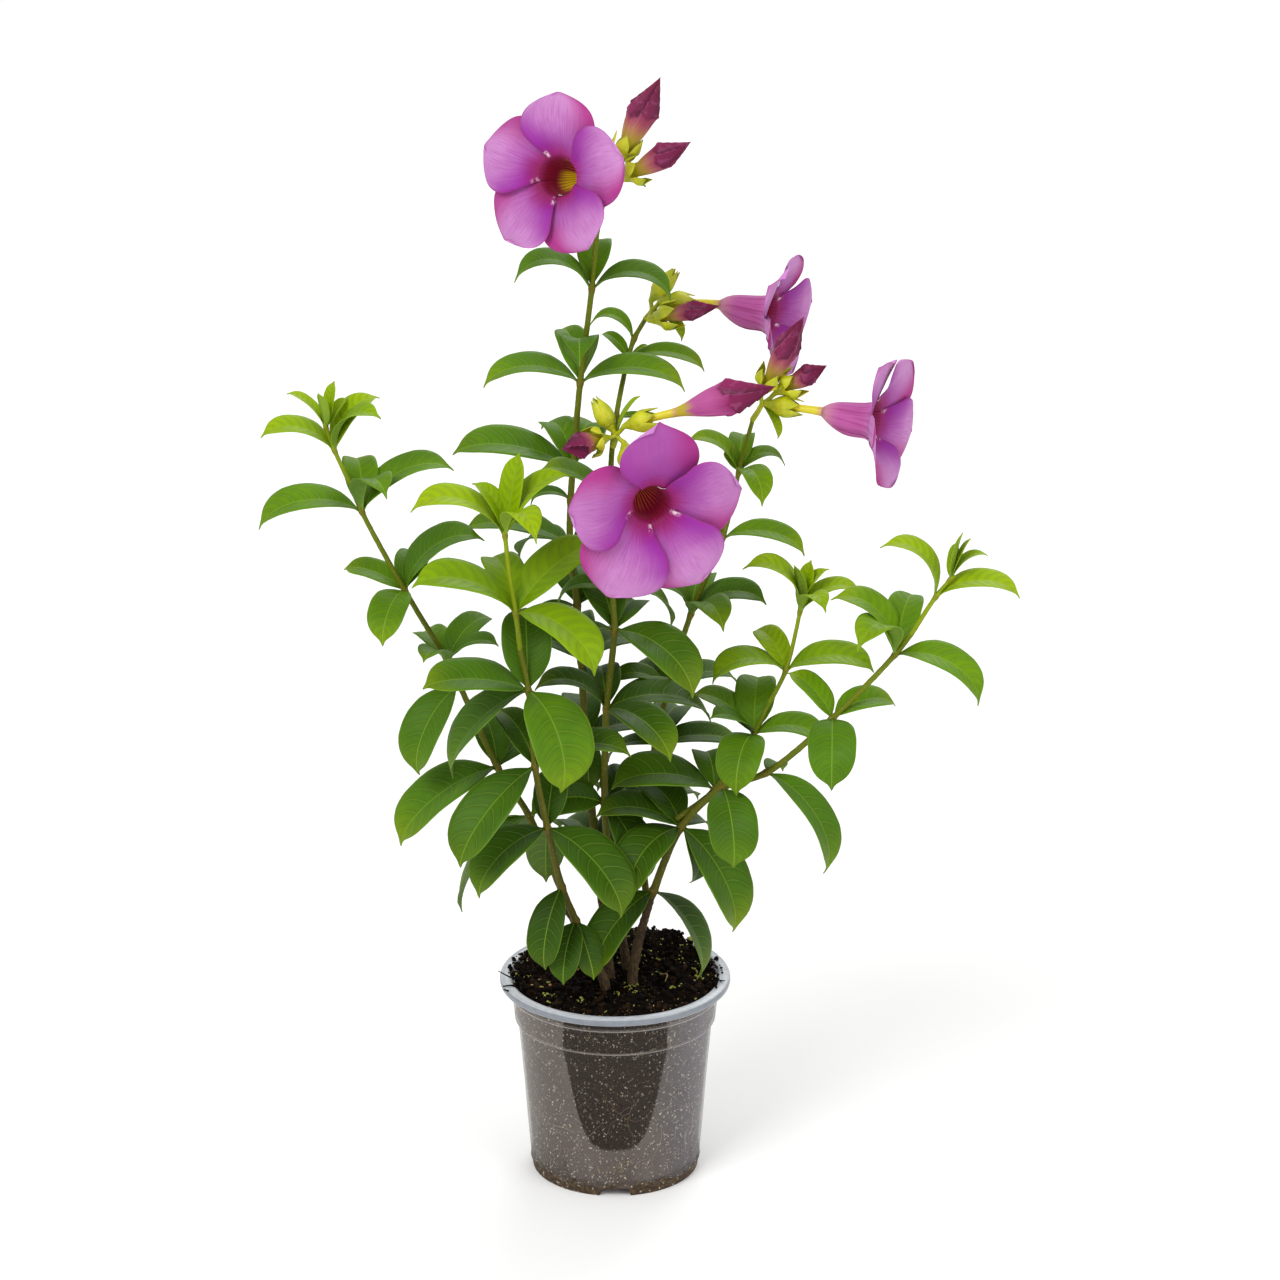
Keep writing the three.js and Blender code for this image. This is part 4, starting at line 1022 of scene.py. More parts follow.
@dataclass
class NurseryPot:
    """The clear pot: a thin shell with a wide rim, collar, step and notched foot."""

    height: float = 107.5
    wall: float = 1.2
    rim_radius: float = 60.0
    rim_low: float = 103.5
    collar_radius: float = 54.5
    step_z: float = 84.0
    step_top: float = 52.4
    step_low: float = 50.8
    foot_radius: float = 43.3
    ridge_z: float = 5.5
    ridge_radius: float = 44.2
    foot_wall: float = 2.4
    floor_z: float = 5.2
    notches: int = 3
    notch_width: float = 15.0
    notch_height: float = 4.4
    drain_holes: int = 4
    drain_radius: float = 4.0
    drain_circle: float = 24.0
    drain_sides: int = 28
    floor_seam: float = 31.0
    sides: int = 180

    def inner_radius(self, z: float) -> float:
        """How wide the pot is inside.

        Args:
            z: The height.

        Returns:
            The radius of the wall's inside there.
        """
        if z < self.step_z:
            return lerp(self.ridge_radius - 0.5, self.step_low, z / self.step_z) - self.wall
        share = (z - self.step_z) / (self.height - self.step_z)
        return lerp(self.step_top, self.collar_radius, share) - self.wall

    def section(self) -> list[Pair]:
        """The outline of the shell's wall.

        Returns:
            Radii and heights, from the foot up the outside, down the inside and out below.
        """
        rim, top = self.rim_radius, self.height
        outside = [
            (self.foot_radius - 0.3, 0.0), (self.foot_radius, 0.3), (43.6, 2.0), (43.9, 4.0),
            (44.3, 5.0), (self.ridge_radius + 0.3, self.ridge_z), (44.4, 6.0), (44.25, 6.6),
            (46.0, 27.0), (47.7, 50.0), (49.3, 68.0), (50.5, 81.5), (50.7, 82.7),
            (51.1, 83.4), (51.9, 83.9), (52.3, 84.3), (52.4, 85.2), (53.5, 95.8),
            (53.7, 97.0), (54.1, 97.7), (54.6, 98.1), (54.7, 98.8), (54.8, 102.4),
            (55.3, 103.2), (56.2, self.rim_low), (59.0, self.rim_low), (59.7, 103.8),
            (rim, 104.5), (rim, 106.2), (rim - 0.3, 106.9), (rim - 0.9, top),
        ]
        inside = [
            (57.0, top), (55.2, top - 0.1), (54.2, top - 0.5), (self.inner_radius(top) + 0.1, top - 1.4),
            *((self.inner_radius(z), z) for z in (102.0, 92.0, 85.4, 82.6, 60.0, 30.0, 9.0)),
            (self.inner_radius(7.4) - 0.6, 7.2),
            (40.0, self.floor_z + self.wall), (self.floor_seam, self.floor_z + self.wall),
        ]
        foot = self.foot_radius - self.foot_wall
        under = [
            (self.floor_seam, self.floor_z), (38.0, self.floor_z),
            (foot, self.floor_z - 0.4), (foot, 2.0), (foot, 0.2), (foot + 0.2, 0.0),
        ]
        return outside + inside + under

    def notch_depth(self, angle: float) -> float:
        """How high the foot is cut away.

        Args:
            angle: The angle round the pot.

        Returns:
            The height, or 0 between the notches.
        """
        turn = tau / self.notches
        apart = abs((angle + pi / 2 + turn / 2) % turn - turn / 2)
        return self.notch_height if apart < self.notch_width / 2 / self.foot_radius else 0.0

    def build(self) -> None:
        """Makes the shell, drills its floor and puts it in the scene."""
        shell = Shell()
        section = self.section()
        floor_in, floor_out = len(section) - 7, len(section) - 6
        rings = []
        for k in range(self.sides):
            angle = tau * (k + 0.5) / self.sides
            cut = self.notch_depth(angle)
            ring = []
            for radius, z in section:
                low = cut if radius > 40.5 else 0.0
                ring.append(shell.add(Vector((*spot(radius, angle), max(z, low))), (angle, z, 0.0)))
            rings.append(ring)
        rings.append(rings[0])
        columns = [list(column) for column in zip(*rings)]
        columns.append(columns[0])
        for n, pair in enumerate(pairwise(columns)):
            if n != floor_in:
                shell.strip(pair, closed=False)
        self._floor(shell, columns[floor_in][:-1], columns[floor_out][:-1])
        shell.piece("pot_shell", ClearPlasticFinish(), "clear_pot", ["pot"], crease=50)

    def _floor(self, shell: Shell, upper: list[int], lower: list[int]) -> None:
        """Closes both sides of the floor inside its seam and drills the drain holes.

        Args:
            shell: The shell in the making.
            upper: The vertices of the seam on the upper side.
            lower: The vertices of the seam on the underside.
        """
        seam = len(upper)
        flat = [shell.points[k].xy for k in upper]
        edges = [(k, (k + 1) % seam) for k in range(seam)]
        middles = []
        for k in range(self.drain_holes):
            middle = Vector(spot(1, tau * (k + 0.5) / self.drain_holes)) * self.drain_circle
            middles.append(middle)
            start = len(flat)
            for i in range(self.drain_sides):
                way = Vector(spot(1, tau * i / self.drain_sides))
                flat.append(middle + way * self.drain_radius)
                edges.append((start + i, start + (i + 1) % self.drain_sides))
        places, _, faces, sources, _, _ = geometry.delaunay_2d_cdt(flat, edges, [], 1, 1e-6)
        sides = []
        for ring, z in ((upper, self.floor_z + self.wall), (lower, self.floor_z)):
            holes = [shell.add(Vector((*point, z))) for point in flat[seam:]]
            sides.append([*ring, *holes])
        for face in faces:
            centre = sum((places[k] for k in face), Vector((0.0, 0.0))) / len(face)
            if all((centre - middle).length >= self.drain_radius for middle in middles):
                corners = [sources[k][0] for k in face]
                shell.faces.append(tuple(sides[0][k] for k in corners))
                shell.faces.append(tuple(sides[1][k] for k in corners[::-1]))
        for k in range(self.drain_holes):
            start = seam + k * self.drain_sides
            rings = [side[start:start + self.drain_sides] for side in sides]
            shell.strip(rings)


@dataclass
class Heap:
    """Small uneven lumps, gathered in one mesh."""

    rng: random.Random
    shell: Shell = field(default_factory=Shell)

    LONG = (1 + 5 ** 0.5) / 2
    CORNERS = (
        (-1, LONG, 0), (1, LONG, 0), (-1, -LONG, 0), (1, -LONG, 0),
        (0, -1, LONG), (0, 1, LONG), (0, -1, -LONG), (0, 1, -LONG),
        (LONG, 0, -1), (LONG, 0, 1), (-LONG, 0, -1), (-LONG, 0, 1),
    )
    FACES = (
        (0, 11, 5), (0, 5, 1), (0, 1, 7), (0, 7, 10), (0, 10, 11), (1, 5, 9), (5, 11, 4),
        (11, 10, 2), (10, 7, 6), (7, 1, 8), (3, 9, 4), (3, 4, 2), (3, 2, 6), (3, 6, 8),
        (3, 8, 9), (4, 9, 5), (2, 4, 11), (6, 2, 10), (8, 6, 7), (9, 8, 1),
    )

    def drop(self, place: Vector, size: Triple, kind: Litter, turn: Matrix | None = None) -> None:
        """Adds one lump.

        Args:
            place: Its middle.
            size: Its half sizes.
            kind: What it is made of.
            turn: How it is turned, or nothing for any way up.
        """
        rng = self.rng
        if turn is None:
            axis = Vector((rng.uniform(-1, 1), rng.uniform(-1, 1), rng.uniform(-1, 1)))
            turn = Matrix.Rotation(rng.uniform(0, 6.28), 3, axis.normalized())
        mark = (kind.value, rng.random(), 0.0)
        ids = []
        for corner in self.CORNERS:
            local = Vector(corner) / 1.9 * rng.uniform(0.7, 1.2)
            ids.append(self.shell.add(place + turn @ (local * Vector(size)), NONE, mark))
        self.shell.faces += [tuple(ids[k] for k in face) for face in self.FACES]


@dataclass
class SoilBody:
    """The soil: a core that fills the pot, with litter on top and along the wall."""

    pot: NurseryPot
    edge_z: float = 106.0
    middle_rise: float = 3.0
    mound: Triple = (29.0, 39.0, 6.5)
    mound_spread: Pair = (24.0, 13.0)
    roughness: float = 1.2
    gap: float = 0.35
    sides: int = 168
    crumbs: int = 2600
    rim_crumbs: int = 330
    moss_tufts: int = 26
    flecks: int = 1500
    roots: int = 24
    fibres: int = 260
    reach: float = 51.5
    seen: Pair = (8.5, 103.0)

    def top(self, x: float, y: float) -> float:
        """How high the soil's rough top is.

        Args:
            x: The place's x.
            y: The place's y.

        Returns:
            The height there.
        """
        middle = self.middle_rise * max(0.0, 1 - hypot(x, y - 12) / 60)
        along = (x - self.mound[0]) / self.mound_spread[0]
        across = (y - self.mound[1]) / self.mound_spread[1]
        mound = self.mound[2] * exp(-along * along - across * across)
        clods = sin(0.41 * x + 1.3) * cos(0.37 * y)
        clods += 0.6 * sin(0.9 * y + 0.7 * x)
        rise = middle + mound + 0.02 * y + 0.6 * self.roughness * clods
        lumps = noise.noise(Vector((x, y, 3)) * 0.16) * 2.2
        grains = noise.noise(Vector((x, y, 9)) * 0.55) * 1.1
        return self.edge_z + rise + lumps + grains

    def wall_point(self, angle: float, z: float, depth: float) -> Vector:
        """A place at an angle and height, some depth behind the pot's wall."""
        return Vector((*spot(self.pot.inner_radius(z) - depth, angle), z))

    def build(self) -> None:
        """Makes every piece of the soil."""
        self._core()
        self._crumbs()
        self._flecks()
        self._roots()
        self._twigs()

    def _core(self) -> None:
        """The lumpy block of soil."""
        shell = Shell()
        low = self.pot.floor_z + self.pot.wall + 0.3
        walls = [low + (self.edge_z - 1.5 - low) * k / 58 for k in range(59)]
        flat = [50.6, 49.2, 47.5, 45.5, 43.0, 40.5, *range(38, 4, -3), 2.5]
        rings = []
        for k in range(self.sides):
            angle = tau * k / self.sides
            way = Vector((*spot(1, angle), 0.0))
            ring = [shell.add(way * 20 + UP * low)]
            for z in walls:
                rough = noise.noise(Vector((way.x * 50, way.y * 50, z)) * 0.3) * 0.35
                ring.append(shell.add(self.wall_point(angle, z, self.gap + 0.35 + rough)))
            for radius in flat:
                x, y = radius * way.x, radius * way.y
                ring.append(shell.add(Vector((x, y, self.top(x, y)))))
            rings.append(ring)
        columns = [list(column) for column in zip(*rings)]
        shell.strip(columns)
        shell.cap(columns[0], shell.add(UP * low), flip=True)
        shell.cap(columns[-1], shell.add(UP * self.top(0, 0)))
        shell.piece("soil_core", SoilFinish(), "potting_soil", ["soil"])

    def _crumbs(self) -> None:
        """Peat, bark and moss scattered over the top."""
        rng = random.Random(11)
        heap = Heap(rng)
        kinds = [Litter.PEAT] * 18 + [Litter.BARK] * 6 + [Litter.STRAW] + [Litter.MOSS]
        for _ in range(self.crumbs):
            angle = rng.uniform(0, tau)
            x, y = spot(self.reach * sqrt(rng.random()), angle)
            kind = rng.choice(kinds)
            big = 0.4 + 1.7 * rng.random() ** 3
            if kind in (Litter.MOSS, Litter.STRAW):
                big = 0.3 + 0.5 * rng.random()
            size = Vector((big * rng.uniform(0.8, 1.7), big, big * rng.uniform(0.5, 0.9)))
            heap.drop(Vector((x, y, self.top(x, y) + 0.3 * size.z)), size, kind)
        for _ in range(self.rim_crumbs):
            angle = rng.gauss(pi / 2, 1.35)
            distance = 51.0 + 5.5 * rng.random() ** 1.6
            x, y = spot(distance, angle)
            if y < -22:
                continue
            big = 0.45 + 1.3 * rng.random() ** 2
            size = Vector((big * rng.uniform(0.8, 1.5), big, big * 0.7))
            base = max(self.pot.height, self.top(x, y)) if distance < 52.5 else self.pot.height
            heap.drop(Vector((x, y, base + 0.5 * size.z)), size, rng.choice(kinds))
        for _ in range(self.moss_tufts):
            angle = rng.uniform(0, tau)
            x, y = spot(50 * sqrt(rng.random()), angle)
            for _ in range(rng.randint(4, 8)):
                right, behind = x + rng.gauss(0, 1.3), y + rng.gauss(0, 1.3)
                size = (rng.uniform(0.4, 1.1), rng.uniform(0.3, 0.8), rng.uniform(0.3, 0.6))
                if hypot(right, behind) <= self.reach:
                    place = Vector((right, behind, self.top(right, behind) + 0.7))
                    heap.drop(place, size, Litter.MOSS)
        heap.shell.piece("soil_crumbs", LitterFinish(), "potting_soil")

    def _flecks(self) -> None:
        """Pale flecks pressed against the inside of the wall."""
        def outward(angle: float) -> Matrix:
            """The turn that lays a fleck flat against the wall at an angle."""
            return Matrix.Rotation(angle, 3, "Z") @ Matrix.Rotation(pi / 2, 3, "Y")

        rng = random.Random(23)
        heap = Heap(rng)
        kinds = [Litter.STRAW] * 5 + [Litter.PALE] * 4 + [Litter.BARK] * 4 + [Litter.MOSS]
        for _ in range(self.flecks):
            angle = rng.uniform(0, tau)
            z = rng.uniform(*self.seen)
            big = 0.22 + 0.5 * rng.random() ** 2.5
            size = (big * rng.uniform(1, 2.4), big, 0.28)
            turn = outward(angle) @ Matrix.Rotation(rng.uniform(0, 6.28), 3, "Z")
            heap.drop(self.wall_point(angle, z, 0.5), size, rng.choice(kinds), turn)
        for x, z, count in ((3.7, 15.0, 12), (-9.0, 15.5, 6), (8.5, 19.0, 6), (-13.0, 92.0, 8)):
            for _ in range(count):
                z_here = z + rng.gauss(0, 1.2)
                angle = -acos((x + rng.gauss(0, 1.6)) / self.pot.inner_radius(z_here))
                size = (rng.uniform(0.5, 1.1), rng.uniform(0.4, 0.9), 0.3)
                heap.drop(self.wall_point(angle, z_here, 0.5), size, Litter.MOSS, outward(angle))
        heap.shell.piece("soil_flecks", LitterFinish(), "potting_soil")

    def _roots(self) -> None:
        """Fine roots and fibres that wander behind the wall."""
        rng = random.Random(31)
        shell = Shell()

        def wander(angle: float, z: float, heading: float, count: int, radius: float) -> None:
            """Adds one root.

            Args:
                angle: Where round the pot it starts.
                z: How high it starts.
                heading: Its first way along the wall.
                count: How many places it passes through.
                radius: Its radius at its start.
            """
            places = []
            for _ in range(count):
                if not self.seen[0] < z < self.seen[1]:
                    break
                places.append(self.wall_point(angle, z, 0.45))
                heading += rng.gauss(0, 0.35)
                angle += cos(heading) * 3.2 / self.pot.inner_radius(z)
                z += sin(heading) * 3.2
            if len(places) < 3:
                return
            tone = rng.random()
            kind = Litter.STRAW.value if rng.random() < 0.7 else Litter.PALE.value
            route = Route(places, 1.6)
            shell.tube(route, lambda s: radius * (1 - 0.6 * s), 5, lambda s: (kind, tone, 0.0))

        for x, z, heading, count, radius in (
            (-6.0, 58.0, -0.9, 11, 0.42), (1.0, 48.0, -1.4, 7, 0.38), (8.0, 47.0, -1.45, 7, 0.5),
            (11.0, 54.0, -2.2, 6, 0.3), (-22.0, 44.0, -0.1, 6, 0.3), (-19.0, 30.0, -2.0, 6, 0.4),
            (24.0, 36.0, -1.3, 7, 0.36), (-17.0, 33.0, 0.1, 6, 0.34), (4.0, 60.0, -0.4, 6, 0.25),
        ):
            wander(-acos(x / self.pot.inner_radius(z)), z, heading, count, radius)
        for _ in range(self.roots):
            start = rng.uniform(0, 6.28), rng.uniform(14, 98), rng.uniform(0, 6.28)
            wander(*start, rng.randint(5, 10), rng.uniform(0.2, 0.36))
        for _ in range(self.fibres):
            start = rng.uniform(0, 6.28), rng.uniform(10, 101), rng.uniform(0, 6.28)
            wander(*start, 3, rng.uniform(0.1, 0.2))
        shell.piece("soil_roots", LitterFinish(), "potting_soil")

    def _twigs(self) -> None:
        """Small twigs and root ends that stick out at the rim."""
        shell = Shell()
        for *places, kind, radius in (
            ((-48, -8, 107), (-54, -10, 109.5), (-60.5, -12, 114), Litter.PEAT, 0.5),
            ((-51, -19, 106), (-54.5, -22, 107), (-57.5, -23, 108.4), Litter.PEAT, 0.8),
            ((-49, -17, 106), (-53, -17, 108), (-58, -18, 108), Litter.PEAT, 0.6),
            ((-42, 14, 107), (-45, 14, 111), (-44, 15, 114), Litter.BARK, 0.7),
            ((24, -2, 108), (27, -5, 109), (26, -12, 108), Litter.STRAW, 0.45),
            ((12, 22, 108), (13, 22, 116), (10, 22, 121), Litter.PEAT, 0.4),
            ((13, 22, 114), (14.5, 22, 118), (14, 22, 121), Litter.PEAT, 0.3),
            ((48, -6, 106), (52, -10, 108), (57, -12, 108.4), Litter.PEAT, 0.6),
            ((44, 8, 107), (49, 6, 111), (51, 5, 112), Litter.BARK, 0.8),
            ((-46, 4, 107), (-49, 1, 111), (-53, 0, 112), Litter.BARK, 0.5),
        ):
            shell.tube(
                Route(places, 0.9), lambda s, r=radius: r * (1 - 0.5 * s), 6,
                lambda s, k=kind: (k.value, 0.4, 0.0), wobble=0.5,
            )
        shell.piece("soil_twigs", LitterFinish(), "potting_soil")


@dataclass
class Branch:
    """A branch of a woody shoot, with the leafy stem that it carries, if any."""

    carries: str | None
    radii: Pair
    route: tuple[Triple, ...]


@dataclass
class WoodyShoot:
    """A brown shoot that stands in the soil and may fork."""

    name: str
    branches: tuple[Branch, ...]
    sides: int = 18
    flare: float = 0.3

    def build(self) -> None:
        """Makes the shoot with flared foot, knots and rough bark."""
        shell = Shell()
        for k, branch in enumerate(self.branches):
            route = Route(branch.route, 1.1)
            whole = route.lengths[-1]
            start, end = branch.radii
            knots = [0.52, 0.74] if whole > 50 else [0.5]

            def radius(share: float) -> float:
                """The branch's radius, swollen at its foot and knots.

                Args:
                    share: How far along the branch.

                Returns:
                    The radius.
                """
                swell = sum(0.3 * exp(-((share - knot) * whole / 2.4) ** 2) for knot in knots)
                foot = self.flare * exp(-((share * whole - 30) / 5.0) ** 2)
                stub = 0.3 * max(0.0, (share - 0.93) / 0.07) if branch.carries is None else 0.0
                return 0.9 * lerp(start, end, share) + swell + foot * (whole > 50) - stub

            shell.tube(route, radius, self.sides, lambda s: (0.0, 0.3 * k, 0.0), wobble=0.16)
        shell.piece(f"{self.name}_bark", BarkFinish(), "bark", [self.name])


@dataclass
class Whorl:
    """A node of a stem and the leaves that spring from it."""

    place: Triple
    ratio: float = 0.0
    leaves: tuple[Reals, ...] = ()


@dataclass
class Blade:
    """One leaf: folded along its midrib, arched, with a drip tip."""

    root: Vector
    reach: Vector
    arch: float
    ratio: float
    age: float
    tone: float
    twist: float
    roll: float = 0.0
    fold: float = radians(15)
    lean: float = radians(13)
    rows: int = 30

    OUTLINE = Profile((
        (0, 0.07), (0.04, 0.1), (0.1, 0.34), (0.19, 0.66), (0.31, 0.91), (0.46, 1),
        (0.61, 0.97), (0.72, 0.84), (0.8, 0.64), (0.86, 0.4), (0.9, 0.21), (0.93, 0.11),
        (0.965, 0.06), (1, 0),
    ))
    COLUMNS = (-1.0, -0.82, -0.6, -0.38, -0.18, -0.05, 0.05, 0.18, 0.38, 0.6, 0.82, 1.0)

    def grow(self, shell: Shell) -> None:
        """Adds the leaf to a mesh.

        Args:
            shell: The mesh in the making.
        """
        root, reach = self.root, self.reach
        side = reach.cross(UP).normalized()
        lift = side.cross(reach).normalized() * (self.arch / 0.75)
        knots = [root, root + reach * 0.28 + lift, root + reach * 0.86 + lift, root + reach]
        steps = [self._bezier(knots, i / 16)[0] for i in range(17)]
        length = sum((b - a).length for a, b in pairwise(steps))
        half_width = 0.5 * self.ratio * length
        lean = self.lean * -side.y + radians(self.roll)
        rows = []
        for i in range(self.rows + 1):
            t = (i / self.rows) ** 0.94
            centre, along = self._bezier(knots, t)
            across = Matrix.Rotation(lean + self.twist * t, 3, along) @ side
            normal = across.cross(along).normalized()
            half = half_width * self.OUTLINE(t) + 0.12
            centre = centre + across * (self.twist * 6 * sin(pi * t))
            row = []
            for v in self.COLUMNS:
                spread = abs(v)
                open_up = sin(self.fold) * (1.12 * spread - 0.22 * spread ** 3)
                wave = 0.03 * sin(9 * t + self.tone * 6 + v) * spread * spread
                pleat = 0.014 * sin((t - 0.17 * spread) * 60) * spread * (1.2 - spread)
                point = centre + across * (v * half * cos(self.fold))
                point = point + normal * (half * (open_up + wave) + half_width * pleat)
                thick = 0.3 + 0.55 * exp(-(v * half / 0.7) ** 2) * (1 - 0.7 * t)
                row.append((point, normal * -thick, (t, v), (self.age, self.tone, half)))
            rows.append(row)
        shell.leaf_of(rows)

    @staticmethod
    def _bezier(knots: Sequence[Vector], t: float) -> tuple[Vector, Vector]:
        """A place on the midrib.

        Args:
            knots: The four knots of its curve.
            t: How far along it.

        Returns:
            The place and the way that the midrib runs there.
        """
        a, b, c, d = knots
        u = 1 - t
        place = a * u ** 3 + b * (3 * u * u * t) + c * (3 * u * t * t) + d * t ** 3
        way = (b - a) * (3 * u * u) + (c - b) * (6 * u * t) + (d - c) * (3 * t * t)
        return place, way.normalized()


@dataclass
class LeafyStem:
    """A green stem with whorls of leaves."""

    name: str
    slot: str
    after: str | None
    radii: Pair
    ages: Pair
    whorls: tuple[Whorl, ...]
    sides: int = 12
    tip: float = 2.5
    overlap: float = 1.0

    def build(self, start: Triple | None) -> None:
        """Makes the stem and its leaves.

        Args:
            start: The end of what it grows from, or nothing where the first whorl is it.
        """
        rng = random.Random(self.name)
        whorls = self.whorls
        if start is None:
            start, whorls = whorls[0].place, whorls[1:]
        first = Vector(start)
        back = (first - Vector(whorls[0].place)).normalized() * self.overlap
        places = [first + back, *(Vector(whorl.place) for whorl in whorls)]
        if whorls[-1].leaves:
            ahead = (places[-1] - places[-2]).normalized() * self.tip
            places.append(places[-1] + ahead)
        route = Route(places, 1.5)
        whole = route.lengths[-1]
        nodes = [
            route.lengths[route.stops[k + 1]] / whole
            for k, whorl in enumerate(whorls) if whorl.leaves
        ]

        def knot(share: float) -> float:
            """How near a whorl a share of the length is, from 0 to 1."""
            gaps = [abs(share - place) * whole for place in nodes]
            return max((exp(-(gap / 1.9) ** 2) for gap in gaps), default=0.0)

        skin = Shell()
        tone = rng.random()
        skin.tube(
            route, lambda s: lerp(*self.radii, s) + 0.5 * knot(s), self.sides,
            lambda s: (lerp(*self.ages, s), tone, knot(s)), wobble=0.08,
        )
        skin.piece(f"{self.name}_skin", StemFinish(), self.slot, [self.name])
        blades = Shell()
        for k, whorl in enumerate(whorls):
            stop = route.stops[k + 1]
            age = lerp(*self.ages, route.lengths[stop] / whole)
            for right, behind, up, arch, *roll in whorl.leaves:
                reach = Vector((right, behind, up))
                outward = Vector((right, behind, 0)).normalized() * 0.5
                youth = 0.12 if reach.length < 30 and self.ages[1] > 0.7 else 0.0
                Blade(
                    root=route.points[stop] + outward, reach=reach, arch=arch, ratio=whorl.ratio,
                    age=min(1.0, max(0.0, age + youth + rng.uniform(-0.07, 0.07))),
                    tone=rng.random(), twist=rng.uniform(-0.12, 0.12), roll=sum(roll),
                ).grow(blades)
        blades.piece(f"{self.name}_blades", LeafFinish(), self.slot, [self.name])


def add_neck(name: str, places: Sequence[Vector], shape: Profile) -> None:
    """Makes the narrow tube of a flower or bud as a piece of its own.

    Args:
        name: The flower's or bud's name.
        places: The places that it passes through.
        shape: Its radius along its length.
    """
    shell = Shell()
    shell.tube(Route(places, 1.2), shape, 20, lambda s: (s, 0.0, 0.0), wobble=0.03)
    shell.piece(f"{name}_neck", TubeFinish(), "flower_tube", [f"{name}_tube"])


